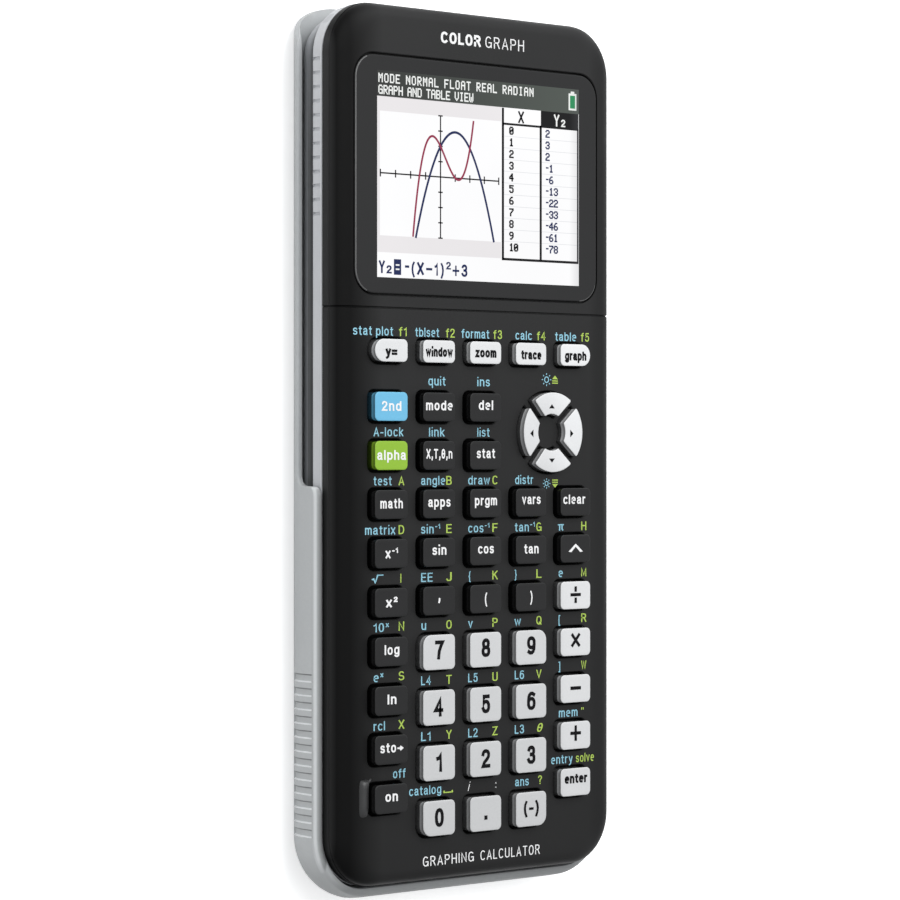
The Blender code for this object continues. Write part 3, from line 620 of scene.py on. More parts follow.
# ------------------------------------------------------------------ lettering
# One glyph per line: character, width, strokes parted by "/". Capitals are 1 high.
# A stroke runs through points "x,y" and arcs "centre x,centre y,radius x,radius y,from,to".
# Signs: ~ root, $ pi, @ theta, > arrow, | space mark, _ minus, * times, / divide.
# The strokes of i depend on the weight and are made in write().
GLYPH_TABLE = """
A .5 0,0 .25,1 .5,0 / .09,.3 .41,.3
B .46 .24,0 0,0 0,1 .23,1 .23,.76,.2,.24,90,-90 / 0,.52 .23,.52 .24,.26,.22,.26,90,-90
C .48 .25,.5,.25,.5,48,312
D .47 .2,0 0,0 0,1 .2,1 .2,.5,.27,.5,90,-90
E .4 .4,1 0,1 0,0 .4,0 / 0,.52 .36,.52
F .38 .38,1 0,1 0,0 / 0,.52 .34,.52
G .5 .25,.5,.25,.5,48,325 / .29,.46 .5,.46 .5,.02
H .46 0,0 0,1 / .46,0 .46,1 / 0,.52 .46,.52
I 0 0,0 0,1
J .32 .32,1 .32,.22 .16,.22,.16,.22,0,-170
K .46 0,0 0,1 / .44,1 .02,.44 / .15,.62 .46,0
L .36 0,1 0,0 .36,0
M .58 0,0 0,1 .29,.12 .58,1 .58,0
N .46 0,0 0,1 .46,0 .46,1
O .5 .25,.5,.25,.5,0,360
P .44 0,0 0,1 .23,1 .23,.74,.21,.26,90,-90 .23,.48 0,.48
Q .5 .25,.5,.25,.5,0,360 / .3,.24 .5,-.02
R .46 0,0 0,1 .23,1 .23,.75,.21,.25,90,-90 .23,.5 0,.5 / .26,.5 .46,0
S .44 .22,.75,.2,.25,28,270 .22,.25,.22,.25,90,-152
T .44 0,1 .44,1 / .22,1 .22,0
U .46 0,1 0,.26 .23,.26,.23,.26,180,360 .46,.26 .46,1
V .46 0,1 .23,0 .46,1
W .7 0,1 .17,0 .35,.97 .53,0 .7,1
X .44 0,1 .44,0 / .44,1 0,0
Y .44 0,1 .22,.46 .44,1 / .22,.48 .22,0
Z .44 .02,1 .43,1 0,0 .44,0
a .4 .19,.55,.165,.19,165,0 .355,.5 .355,.1 .4,0 / .355,.43 .17,.4 .165,.2,.165,.2,90,270 .18,0 .355,.13
b .42 0,0 0,1 / .21,.37,.21,.37,0,360
c .38 .21,.37,.21,.37,48,312
d .42 .42,0 .42,1 / .21,.37,.21,.37,0,360
e .41 .03,.40 .40,.40 .21,.37,.205,.37,12,288
f .25 .11,0 .11,.82 .27,.82,.16,.18,180,95 / 0,.72 .25,.72
g .42 .21,.37,.21,.37,0,360 / .42,.74 .42,-.05 .21,-.06,.21,.2,0,-150
h .38 0,0 0,1 / .19,.5,.19,.24,180,0 .38,.5 .38,0
i 0
k .37 0,0 0,1 / .35,.74 .02,.3 / .13,.42 .37,0
l 0 0,0 0,1
m .62 0,0 0,.74 / .155,.52,.155,.22,180,0 .31,.52 .31,0 / .465,.52,.155,.22,180,0 .62,.52 .62,0
n .38 0,0 0,.74 / .19,.5,.19,.24,180,0 .38,.5 .38,0
o .42 .21,.37,.21,.37,0,360
p .42 0,-.27 0,.74 / .21,.37,.21,.37,0,360
q .42 .42,-.27 .42,.74 / .21,.37,.21,.37,0,360
r .21 0,0 0,.74 / .2,.5,.2,.22,180,90
s .35 .175,.56,.165,.18,28,270 .175,.19,.175,.19,90,-152
t .23 .1,.95 .1,.14 .23,.14,.13,.14,180,270 / 0,.72 .23,.72
u .38 0,.74 0,.24 .19,.24,.19,.24,180,360 / .38,.74 .38,0
v .38 0,.74 .19,0 .38,.74
w .6 0,.74 .15,0 .3,.71 .45,0 .6,.74
x .37 0,.74 .37,0 / .37,.74 0,0
y .39 0,.74 .2,.02 / .39,.74 .17,-.18 .03,-.26
z .36 .02,.74 .35,.74 0,0 .36,0
0 .42 .21,.5,.21,.5,0,360
1 .22 0,.76 .11,.79 .2,.97 .2,0
2 .42 .205,.75,.2,.25,172,-32 .3,.47 .1,.24 .01,0 .42,0
3 .41 .2,.76,.18,.24,160,-90 / .2,.26,.205,.26,90,-162
4 .44 .33,0 .33,1 0,.3 .44,.3
5 .41 .37,1 .07,1 .03,.5 .2,.33,.205,.33,128,-158
6 .42 .21,.32,.21,.32,0,360 / .24,.5,.24,.5,55,180 0,.42 0,.32
7 .42 0,1 .42,1 .3,.74 .19,.4 .15,0
8 .42 .21,.76,.175,.24,0,360 / .21,.26,.21,.26,0,360
9 .42 .21,.68,.21,.32,0,360 / .18,.5,.24,.5,235,360 .42,.58 .42,.68
+ .5 0,.46 .5,.46 / .25,.14 .25,.78
- .24 0,.38 .24,.38
_ .46 0,.46 .46,.46
* .44 .02,.2 .42,.74 / .02,.74 .42,.2
/ .5 0,.46 .5,.46 / .25,.70 .25,.82 / .25,.10 .25,.22
= .46 .02,.20 .44,.20 / .02,.62 .44,.62
. .02 .01,.0 .01,.01
, .04 .03,.08 .03,-.04 -.01,-.18
: .02 .01,.04 .01,.06 / .01,.58 .01,.60
? .38 .19,.78,.18,.22,170,-50 .2,.48 .19,.28 / .19,.0 .19,.01
" .26 0,.96 0,.78 / .26,.96 .26,.78
^ .46 0,.2 .23,.78 .46,.2
( .14 .14,1.06 .04,.8 0,.4 .04,0 .14,-.26
) .14 0,1.06 .1,.8 .14,.4 .1,0 0,-.26
[ .13 .13,1.04 0,1.04 0,-.2 .13,-.2
] .13 0,1.04 .13,1.04 .13,-.2 0,-.2
{ .18 .18,1.04 .1,1.0 .09,.56 0,.42 .09,.28 .1,-.16 .18,-.2
} .18 0,1.04 .08,1.0 .09,.56 .18,.42 .09,.28 .08,-.16 0,-.2
~ .8 0,.46 .1,.52 .22,.02 .42,.98 .82,.98
$ .52 0,.7 .52,.7 / .14,.7 .12,0 / .38,.7 .38,.1 .45,0
@ .38 .19,.5,.19,.5,0,360 / 0,.5 .38,.5
> .5 0,.37 .46,.37 / .3,.55 .5,.37 .3,.19
| .8 0,.12 0,-.04 .8,-.04 .8,.12
"""


def glyph_arc(cx, cy, rx, ry, start, end):
    """Points on a slightly squared ellipse."""
    power = 2 / 2.35
    steps = max(4, int(abs(end - start) / 22))
    points = []
    for i in range(steps + 1):
        a = math.radians(start + (end - start) * i / steps)
        c, s = COS(a), SIN(a)
        points.append((cx + rx * math.copysign(abs(c) ** power, c),
                       cy + ry * math.copysign(abs(s) ** power, s)))
    return points


def read_stroke(text):
    points = []
    for token in text.split():
        numbers = tuple(float(part) for part in token.split(","))
        points += [numbers] if len(numbers) == 2 else glyph_arc(*numbers)
    return points


def read_glyphs(table):
    glyphs = {}
    for line in table.strip().splitlines():
        character, width, *tokens = line.split()
        strokes = [read_stroke(stroke) for stroke in " ".join(tokens).split("/")]
        glyphs[character] = (float(width), strokes)
    return glyphs


GLYPHS = read_glyphs(GLYPH_TABLE)


def ribbon(points, half, ends=1.0, z=0.0):
    """A flat strip of this half width along points, with mitred joints.

    ends is how far it runs past open ends, in half widths.
    """
    path = [points[0]]
    for point in points[1:]:
        if math.dist(point, path[-1]) > 1e-4:
            path.append(point)
    if len(path) < 2:
        return [], []
    closed = len(path) > 3 and math.dist(path[0], path[-1]) < 1e-3
    if closed:
        path = path[:-1]
    else:
        for end, beside in ((0, 1), (-1, -2)):
            step = Vector(path[end]) - Vector(path[beside])
            step = step.normalized() * half * ends
            path[end] = (path[end][0] + step.x, path[end][1] + step.y)
    count = len(path)
    left, right = [], []
    for i, (x, y) in enumerate(path):
        came = went = None
        if i or closed:
            before = path[i - 1]
            came = Vector((x - before[0], y - before[1])).normalized()
        if i < count - 1 or closed:
            after = path[(i + 1) % count]
            went = Vector((after[0] - x, after[1] - y)).normalized()
        if came is None:
            came = went
        if went is None:
            went = came
        along = came + went
        along = along.normalized() if along.length > 1e-6 else came
        across = Vector((-along.y, along.x))
        mitre = min(2.0, 1 / max(0.2, across.dot(Vector((-came.y, came.x)))))
        left.append((x + across.x * half * mitre, y + across.y * half * mitre, z))
        right.append((x - across.x * half * mitre, y - across.y * half * mitre, z))
    faces = []
    for i in range(count if closed else count - 1):
        j = (i + 1) % count
        faces.append((i, count + i, count + j, j))
    return left + right, faces


def write(text, cap, weight, x=0.0, y=0.0, width=None, centred=False, slant=0.0, gap=0.16):
    """Flat lettering as a solid. cap is a capital's height; weight and gap are shares of it.

    ^[..] lifts small characters. width stretches the text to that length.
    """
    strips, pen, small = [], 0.0, False
    for character in text.replace("^[", "\n"):    # a newline stands for the opening mark
        if character == "\n":
            small = True
            continue
        if small and character == "]":
            small = False
            continue
        if character == " ":
            pen += 0.34
            continue
        wide, strokes = GLYPHS[character]
        size, up = (0.55, 0.52) if small else (1.0, 0.0)
        line = weight * (0.80 if small else 1.0)
        if character == "i":    # the dot stays clear of the stem at any weight
            heavy = max(0.0, line - 0.10)
            stem, dot = 0.71 - 0.9 * heavy, 1.02 + 0.75 * heavy
            strokes = [[(0, 0), (0, stem)], [(0, dot), (0, dot + 0.01)]]
        for layer, stroke in enumerate(strokes):
            points = []
            for across, rise in stroke:    # strokes keep inside the letter's height
                scale = size - line if rise >= 0 else size
                points.append((pen + weight / 2 + across * size, up + (line / 2 + rise * scale)))
            # strokes that cross lie at their own heights
            strips.append(ribbon(points, line / 2, z=0.004 * layer))
        pen += wide * size + weight + gap * (0.6 if small else 1.0)
    total = pen - gap
    stretch = (width / (total * cap)) if width else 1.0
    shift = -total / 2 if centred else 0.0
    verts, faces = merged(strips)
    return [(x + (across + shift + slant * rise) * cap * stretch, y + rise * cap, z)
            for across, rise, z in verts], faces


# ------------------------------------------------------------------ keys
# name, legend, legend width, height of its baseline from the key's centre
TOP_ROW = (("y_equals", "y=", 3.2, -1.26), ("window", "window", 7.5, -1.1),
           ("zoom", "zoom", 6.0, -1.02), ("trace", "trace", 5.9, -1.2),
           ("graph", "graph", 6.4, -1.18))
# row, column, then as above
STANDARD_KEYS = (
    (2, 0, "2nd", "2nd", 5.3, -0.925), (2, 1, "mode", "mode", 7.4, -0.705),
    (2, 2, "del", "del", 4.1, -0.525),
    (3, 0, "alpha", "alpha", 7.8, -0.925), (3, 1, "variable", "X,T,@,n", 7.2, -0.675),
    (3, 2, "stat", "stat", 5.2, -0.605),
    (4, 0, "math", "math", 6.1, -0.805), (4, 1, "apps", "apps", 6.2, -0.6385),
    (4, 2, "prgm", "prgm", 6.3, -0.4585), (4, 3, "vars", "vars", 5.4, -0.3385),
    (4, 4, "clear", "clear", 6.6, -0.445),
    (5, 0, "inverse", "x^[-1]", 3.3, -0.966), (5, 1, "sin", "sin", 3.9, -0.5385),
    (5, 2, "cos", "cos", 4.5, -0.5385), (5, 3, "tan", "tan", 4.2, -0.805),
    (5, 4, "power", "^", 4.0, -1.174),
    (6, 0, "square", "x^[2]", 3.0, -0.966), (6, 1, "comma", ",", None, -0.03),
    (6, 2, "paren_open", "(", None, -1.05), (6, 3, "paren_close", ")", None, -1.05),
    (6, 4, "divide", "/", None, -2.108),
    (7, 0, "log", "log", 4.0, -0.625), (7, 4, "multiply", "*", None, -1.868),
    (8, 0, "ln", "ln", 2.4, -0.725), (8, 4, "minus", "_", None, -2.292),
    (9, 0, "sto", "sto>", 6.2, -0.575), (9, 4, "plus", "+", None, -1.804),
    (10, 0, "on", "on", 3.4, -0.5385), (10, 4, "enter", "enter", 6.8, -0.245),
)
# per row, in columns 1 to 3: name, legend, legend width, baseline
NUMBER_KEYS = (
    (("7", "7", None, -1.5), ("8", "8", None, -1.55), ("9", "9", None, -1.6)),
    (("4", "4", None, -1.9), ("5", "5", None, -1.9), ("6", "6", None, -1.9)),
    (("1", "1", None, -1.9), ("2", "2", None, -1.9), ("3", "3", None, -1.9)),
    (("0", "0", None, -1.85), ("point", ".", None, -1.3), ("negate", "(-)", 4.4, -0.98)),
)
FINISHES = {"2nd": "key_blue", "alpha": "key_green", "divide": "key_pale",
            "multiply": "key_pale", "minus": "key_pale", "plus": "key_pale",
            "enter": "key_pale"}
BOLD = dict(cap=2.0, weight=0.25, gap=0.08)
# Departures from the usual legend: capital height, weight, gap, shift to the right
LEGEND_STYLES = {
    "y_equals": BOLD, "zoom": BOLD, "trace": BOLD, "graph": BOLD,
    "window": {**BOLD, "weight": 0.27},
    "enter": dict(weight=0.24, gap=0.08, aside=0.2),
    "clear": dict(aside=-0.3), "log": dict(aside=0.2), "ln": dict(aside=0.2),
    "sto": dict(aside=0.15), "7": dict(aside=0.15), "4": dict(aside=-0.1),
    "power": dict(cap=2.6, weight=0.13), "comma": dict(cap=2.6),
    "paren_open": dict(cap=2.3, weight=0.14), "paren_close": dict(cap=2.3, weight=0.14),
    "divide": dict(cap=4.8, weight=0.145), "multiply": dict(cap=4.8, weight=0.145),
    "minus": dict(cap=5.2, weight=0.145), "plus": dict(cap=4.9, weight=0.145),
    "point": dict(cap=4.0, weight=0.22), "negate": dict(cap=2.7),
}
CORNER, TOP_ROW_CORNER, NUMBER_CORNER = 1.0, 2.3, 2.1
NUMBER_CORNERS = {"7": 0, "9": 1, "negate": 2, "0": 3}    # which corner is rounder
Key = namedtuple("Key", "name x y height radii finish text width baseline")


def lay_out_keys():
    small, big = CORNER, TOP_ROW_CORNER
    keys = []
    for i, (name, *legend) in enumerate(TOP_ROW):
        left, right = (big if i == 0 else small), (big if i == 4 else small)
        keys.append(Key(name, COLUMN_X[i], TOP_ROW_Y, TOP_ROW_H, (left, right, right, left),
                        "key_pale", *legend))
    for row, column, name, *legend in STANDARD_KEYS:
        keys.append(Key(name, COLUMN_X[column], ROW_2 - ROW_PITCH * (row - 2), KEY_H,
                        (small,) * 4, FINISHES.get(name, "key_dark"), *legend))
    for y, row in zip(NUMBER_ROWS, NUMBER_KEYS):
        for i, (name, *legend) in enumerate(row):
            radii = [small] * 4
            if name in NUMBER_CORNERS:
                radii[NUMBER_CORNERS[name]] = NUMBER_CORNER
            keys.append(Key(name, COLUMN_X[i + 1], y, NUMBER_H, tuple(radii), "key_pale",
                            *legend))
    return keys


KEYS = lay_out_keys()


def key_rings(key):
    """Flange under the face, tapered sides, a rolled edge and a very slightly dished top."""
    edge_z, edge_grow, roll, aside = 18.90, 0.09, 0.16, 0.08

    def at(grow, z, aside=0.0):
        return lift(outline(key.x - KEY_W / 2 - grow + aside,
                            key.x + KEY_W / 2 + grow + aside * 1.6,
                            key.y - key.height / 2 - grow + aside * 1.4,
                            key.y + key.height / 2 + grow - aside * 1.4,
                            tuple(max(0.05, r + grow) for r in key.radii), 6), z)

    rings = [at(1.35, 14.3), at(1.35, 15.05), at(0.02, 15.1), at(-0.12, 17.2, 0.06),
             at(edge_grow, edge_z, aside)]
    for sine, cosine in quarter(5):
        rings.append(at(edge_grow - roll * (1 - cosine), edge_z + (KEY_TOP - edge_z) * sine,
                        aside))
    return rings + [at(-0.60, KEY_TOP - 0.010, aside), at(-1.9, KEY_TOP - 0.03, aside)]


def add_key(part_name, key_name, rings, mark, finish, ink_name):
    """A key with a printed mark. Its flange under the face is painted near black, as shade in the gaps.
    """
    body = skin(rings)
    web = 2 * len(rings[0])
    face_materials = [2] * web + [0] * (len(body[1]) - web) + [1] * len(mark[1])
    part = piece(part_name, merged([body, raised(mark, KEY_TOP + PRINT_LIFT)]),
                 [finish, ink_name, "slot_black"], face_materials, angle=50)
    fit(part, "key_" + key_name, "key_" + key_name + "_body")


def build_keys():
    for key in KEYS:
        ink_name = "ink_black" if key.finish == "key_pale" else "ink_white"
        style = {"cap": 4.0 if key.text.isdigit() else 2.05,
                 "weight": 0.20 if ink_name == "ink_black" else 0.17,
                 "gap": 0.16, "aside": 0.1, **LEGEND_STYLES.get(key.name, {})}
        mark = write(key.text, style["cap"], style["weight"], key.x + style["aside"],
                     key.y + key.baseline, key.width, centred=True, gap=style["gap"])
        add_key("cap_" + key.name, key.name, key_rings(key), mark, key.finish, ink_name)


def arrow_outline(direction, grow, z):
    """A quarter of a ring with straight sides and softened corners, anticlockwise."""
    steps, soft, soft_steps = 14, 0.45, 3
    points = []
    for r, sign, shift in ((PAD_R + grow, 1, 0.0), (PAD_R_IN - grow, -1, PAD_HUB_SHIFT)):
        edge = math.pi / 4 - math.asin((PAD_GAP / 2 - grow) / r)
        for i in range(steps + 1):
            a = sign * (-edge + 2 * edge * i / steps)
            points.append((PAD_X + shift + r * COS(a + direction),
                           PAD_Y + r * SIN(a + direction)))
    softened, count = [], len(points)
    for i, point in enumerate(points):
        if i not in (0, count // 2 - 1, count // 2, count - 1):
            softened.append(point)
            continue
        corner = Vector(point)
        back = Vector(points[i - 1]) - corner
        ahead = Vector(points[(i + 1) % count]) - corner
        start = corner + back.normalized() * min(soft, back.length * 0.45)
        end = corner + ahead.normalized() * min(soft, ahead.length * 0.45)
        for k in range(soft_steps + 1):
            t = k / soft_steps
            bend = start * (1 - t) ** 2 + corner * 2 * t * (1 - t) + end * t * t
            softened.append((bend.x, bend.y))
    return lift(softened, z)


def build_arrow_keys():
    edge_z, edge_grow, roll = 18.88, -0.06, 0.20
    mark_r, tip, base, half_base = 5.75, 0.62, 0.30, 0.85
    for name, direction in DIRECTIONS.items():
        rings = [arrow_outline(direction, grow, z)
                 for grow, z in ((0.55, 14.3), (0.55, 15.05), (0.02, 15.1), (-0.14, 17.2),
                                 (edge_grow, edge_z))]
        for sine, cosine in quarter(4):
            rings.append(arrow_outline(direction, edge_grow - roll * (1 - cosine),
                                       edge_z + (KEY_TOP - edge_z) * sine))
        c, s = COS(direction), SIN(direction)
        cx, cy = PAD_X - 0.50 + mark_r * c, PAD_Y - 0.25 + mark_r * s
        triangle = [(cx + tip * c, cy + tip * s, 0.0)]
        for side in (1, -1):
            triangle.append((cx - base * c - side * half_base * s,
                             cy - base * s + side * half_base * c, 0.0))
        add_key("arrow_" + name, name, rings, (triangle, [(0, 1, 2)]), "key_pale", "ink_black")


# ------------------------------------------------------------------ front shell and window
def window_ring(grow, z):
    return lift(grown_outline(0.0, WINDOW_Y, WINDOW_W, WINDOW_H, grow, (WINDOW_R,) * 4, 12), z)


def seam_cutter():
    """A V groove across the case at y = 30.15, following the rolled sides and the face."""
    seam_y = 30.15
    inset, _, base = ROLL_START

    def row(offset, dy):
        """The shell's outline from the left wall over the face, moved outwards by offset."""
        points = [(-CASE_X - offset, 12.0), (-CASE_X - offset, 14.8)]
        for sine, cosine in quarter(12):
            points.append((-CASE_X + inset + (ROLL_SIDE - inset) * (1 - cosine)
                           - offset * cosine, base + (FACE - base) * sine + offset * sine))
        points += [(-x, z) for x, z in reversed(points)]
        return [(x, seam_y + dy, z) for x, z in points]

    rows = [row(-0.34, -0.045), row(-0.34, 0.045), row(0.45, 0.50), row(0.45, -0.50)]
    m = len(rows[0])
    faces = []
    for k in range(4):
        a, b = k * m, ((k + 1) % 4) * m
        faces += [(a + i, a + i + 1, b + i + 1, b + i) for i in range(m - 1)]
    faces += [(0, m, 2 * m, 3 * m), (4 * m - 1, 3 * m - 1, 2 * m - 1, m - 1)]
    return [p for points in rows for p in points], faces


def build_front_shell():
    foot_z, wall, corner = 12.67, 1.8, 10.85
    inset_x, inset_y, base = ROLL_START
    rings = [body_ring(*station) for station in (
        (0.22, 0.22, foot_z, 10.8), (0.05, 0.05, 12.75, 10.95), (0.0, 0.0, 12.9, CASE_R),
        (0.0, 0.0, 14.72, CASE_R), (0.16, 0.12, 14.80, corner), (*ROLL_START, corner))]
    for sine, cosine in quarter(12):
        rings.append(body_ring(inset_x + (ROLL_SIDE - inset_x) * (1 - cosine),
                               inset_y + (ROLL_END - inset_y) * (1 - cosine),
                               base + (FACE - base) * sine, corner - 4.2 * (1 - cosine)))
    outer = len(rings)
    rings += [body_ring(wall, wall, 15.4, 9.2), body_ring(wall, wall, foot_z, 9.2)]
    verts, faces = skin(rings, capped=False)
    n = len(rings[0])
    del faces[(outer - 1) * n:outer * n]    # the face and the ceiling are capped instead
    faces.append(tuple(range((outer - 1) * n, outer * n)))
    faces.append(tuple(range((outer + 1) * n - 1, outer * n - 1, -1)))
    faces += bridge((outer + 1) * n, 0, n)
    shell = piece("front_shell", (verts, faces), ["black"], smooth=False)

    holes = []
    for key in KEYS:
        holes.append(skin([
            lift(grown_outline(key.x, key.y, KEY_W, key.height, grow, key.radii, 5), z)
            for grow, z in ((0.48, 14.0), (0.48, 17.02), (0.64, 17.19), (1.16, 17.7))]))
    for direction in DIRECTIONS.values():
        holes.append(skin([arrow_outline(direction, grow, z) for grow, z in
                           ((0.30, 14.0), (0.30, 16.98), (0.48, 17.18), (0.9, 17.7))]))
    carve(shell, merged(holes))
    # a ledge for the window panel, and the opening behind it
    carve(shell, skin([window_ring(grow, z) for grow, z in
                       ((0.42, 15.95), (0.42, 17.02), (0.6, 17.21), (1.1, 17.8))]))
    opening = outline(-30.4, 30.4, WINDOW_Y - 23.2, WINDOW_Y + 23.2, 1.5, 4)
    carve(shell, skin([lift(opening, z) for z in (14.0, 17.0)]))
    carve(shell, seam_cutter())
    tidy(shell, 38.0)
    fit(shell, "front_case")


def build_on_key_guard():
    """A raised guard left of the ON key, curling in at its upper end, and a short rib."""
    x0, y0 = COLUMN_X[0] - KEY_W / 2 - 1.55, ROW_2 - ROW_PITCH * 8
    # distance along Y, share of the full height
    guard_stations = ((-4.0, 0.05), (-3.7, 0.35), (-3.2, 0.68), (-2.4, 0.90), (-1.2, 1.0),
                      (0.6, 1.0), (2.2, 1.04), (3.1, 1.10), (3.7, 0.98), (4.05, 0.70),
                      (4.25, 0.35), (4.35, 0.05))
    rib_stations = ((0.0, 0.2), (0.2, 0.9), (0.8, 1.0), (1.2, 0.5), (1.35, 0.1))
    rings = []
    for t, k in guard_stations:
        bend = 0.30 * max(0.0, (t - 2.2) / 2.1) ** 2
        half = 1.30 * (0.72 + 0.28 * min(1.0, k))
        rings.append([(x0 + bend - half * COS(math.pi * j / 14), y0 + t,
                       16.7 + 1.25 * k * SIN(math.pi * j / 14) ** 0.8) for j in range(15)])
    guard = piece("on_key_guard", skin(rings), ["guard"], angle=60)
    rings = []
    for t, k in rib_stations:
        rings.append([(x0 + 1.05 + 0.75 * t - 0.28 * COS(math.pi * j / 8),
                       y0 + 3.35 + 0.8 * t + 0.1 * COS(math.pi * j / 8),
                       17.0 + 0.48 * k * SIN(math.pi * j / 8)) for j in range(9)])
    rib = piece("on_key_rib", skin(rings), ["guard"], angle=60)
    fit(rib)
    fit(guard)


def build_window():
    edge_z, bevel_steps = 16.98, 4
    rings = [window_ring(0.0, 16.1), window_ring(0.0, edge_z)]
    for sine, cosine in quarter(bevel_steps):
        rings.append(window_ring(-0.24 * (1 - cosine), edge_z + 0.22 * sine))
    rings += [window_ring(grow, FACE) for grow in (-0.42, -0.62, -1.4, -3.0)]
    solid = skin(rings)
    count = len(rings[0])
    face_materials = [0] * len(solid[1])
    for k in range(1, bevel_steps + 1):    # painted highlight: the bevel gets a paler material where it faces left, and down on the right
        for i in range(count):
            start, end = rings[k][i], rings[k][(i + 1) % count]
            nx, ny = end[1] - start[1], start[0] - end[0]
            size = math.hypot(nx, ny) or 1.0
            if nx / size < -0.35 or (ny / size < -0.2 and start[0] > 20):
                face_materials[k * count + i] = 1
    panel = piece("window_panel", solid, ["window", "window_edge_highlight"], face_materials, angle=60)
    fit(panel, "display_window")


# ------------------------------------------------------------------ display
# Seven rows of five dots, from the top; the highest bit is on the left.
DOT_GLYPHS = {
    "M": (17, 27, 21, 21, 17, 17, 17), "O": (14, 17, 17, 17, 17, 17, 14),
    "D": (30, 17, 17, 17, 17, 17, 30), "E": (31, 16, 16, 30, 16, 16, 31),
    "N": (17, 25, 21, 21, 19, 17, 17), "R": (30, 17, 17, 30, 20, 18, 17),
    "A": (14, 17, 17, 31, 17, 17, 17), "L": (16, 16, 16, 16, 16, 16, 31),
    "F": (31, 16, 16, 30, 16, 16, 16), "T": (31, 4, 4, 4, 4, 4, 4),
    "I": (14, 4, 4, 4, 4, 4, 14), "P": (30, 17, 17, 30, 16, 16, 16),
    "G": (14, 17, 16, 23, 17, 17, 15), "H": (17, 17, 17, 31, 17, 17, 17),
    "B": (30, 17, 17, 30, 17, 17, 30), "V": (17, 17, 17, 17, 17, 10, 4),
    "W": (17, 17, 17, 21, 21, 21, 10), " ": (0, 0, 0, 0, 0, 0, 0),
    "0": (14, 17, 19, 21, 25, 17, 14), "1": (4, 12, 4, 4, 4, 4, 14),
    "2": (14, 17, 1, 6, 8, 16, 31), "3": (14, 17, 1, 6, 1, 17, 14),
    "4": (2, 6, 10, 18, 31, 2, 2), "5": (31, 16, 30, 1, 1, 17, 14),
    "6": (6, 8, 16, 30, 17, 17, 14), "7": (31, 1, 2, 4, 8, 8, 8),
    "8": (14, 17, 17, 14, 17, 17, 14), "9": (14, 17, 17, 15, 1, 2, 12),
}
ORIGIN_X, ORIGIN_Y = 96.7, 119    # the graph's origin, in display dots
UNIT_X, UNIT_Y = 23, 18           # one unit along each axis, in display dots


class Display:
    """Lit faces, in display dots right and down from the top left corner, in layers."""

    def __init__(self):
        self.verts, self.faces, self.face_materials, self.materials = [], [], [], []

    def polygon(self, points, tint, layer):
        key = "display_" + tint
        if key not in self.materials:
            self.materials.append(key)
        start = len(self.verts)
        z = FACE + 0.008 + 0.006 * layer
        self.verts += [(DISPLAY_X + x * DOT, DISPLAY_Y - y * DOT, z) for x, y in points]
        self.faces.append(tuple(range(start, start + len(points))))
        self.face_materials.append(self.materials.index(key))

    def rect(self, x0, y0, x1, y1, tint, layer):
        self.polygon([(x0, y1), (x1, y1), (x1, y0), (x0, y0)], tint, layer)

    def dots(self, text, x, y, cell_h, step, tint, layer, fat=0.45):
        """Dot-matrix text. fat is how much each run of cells is widened."""
        cell_w = 1.25
        for character in text:
            for row, bits in enumerate(DOT_GLYPHS[character]):
                column = 0
                while column < 5:
                    end = column
                    while end < 5 and bits >> (4 - end) & 1:
                        end += 1
                    if end > column:
                        self.rect(x + column * cell_w - fat / 2, y + row * cell_h - fat / 4,
                                  x + end * cell_w + fat / 2, y + (row + 1) * cell_h + fat / 4,
                                  tint, layer)
                    column = end + (end == column)
            x += step if character != " " else step * 0.8

    def curve(self, function, x0, x1, width, tint, layer):
        steps = 60
        points = []
        for i in range(steps + 1):
            x = x0 + (x1 - x0) * i / steps
            points.append((ORIGIN_X + UNIT_X * x, ORIGIN_Y - UNIT_Y * function(x)))
        verts, faces = ribbon(points, width / 2)
        for face in faces:
            self.polygon([verts[i][:2] for i in face], tint, layer)

    def letters(self, text, x, baseline, cap, weight, tint, layer, width):
        verts, faces = write(text, cap, weight, width=width)
        for face in faces:
            self.polygon([(x + verts[i][0], baseline - verts[i][1]) for i in face], tint, layer)


def draw_graph(image):
    image.rect(4.7, 118.15, 188.7, 119.85, "black", 2)
    image.rect(95.8, 47, 97.7, 191, "black", 2)
    for k in range(-4, 5):
        if k:
            tick_x, tick_y = ORIGIN_X + UNIT_X * k, ORIGIN_Y - UNIT_Y * k
            image.rect(tick_x - 0.95, 114.5, tick_x + 0.95, 123.5, "black", 2)
            image.rect(93.2, tick_y - 0.8, 100.2, tick_y + 0.8, "black", 2)
    image.curve(lambda x: 3 - (x - 1) ** 2, 1 - math.sqrt(7), 1 + math.sqrt(7), 3.0, "navy", 3)
    image.curve(lambda x: x ** 3 - x ** 2 - 2 * x + 2, -1.84, 2.245, 2.7, "red", 4)


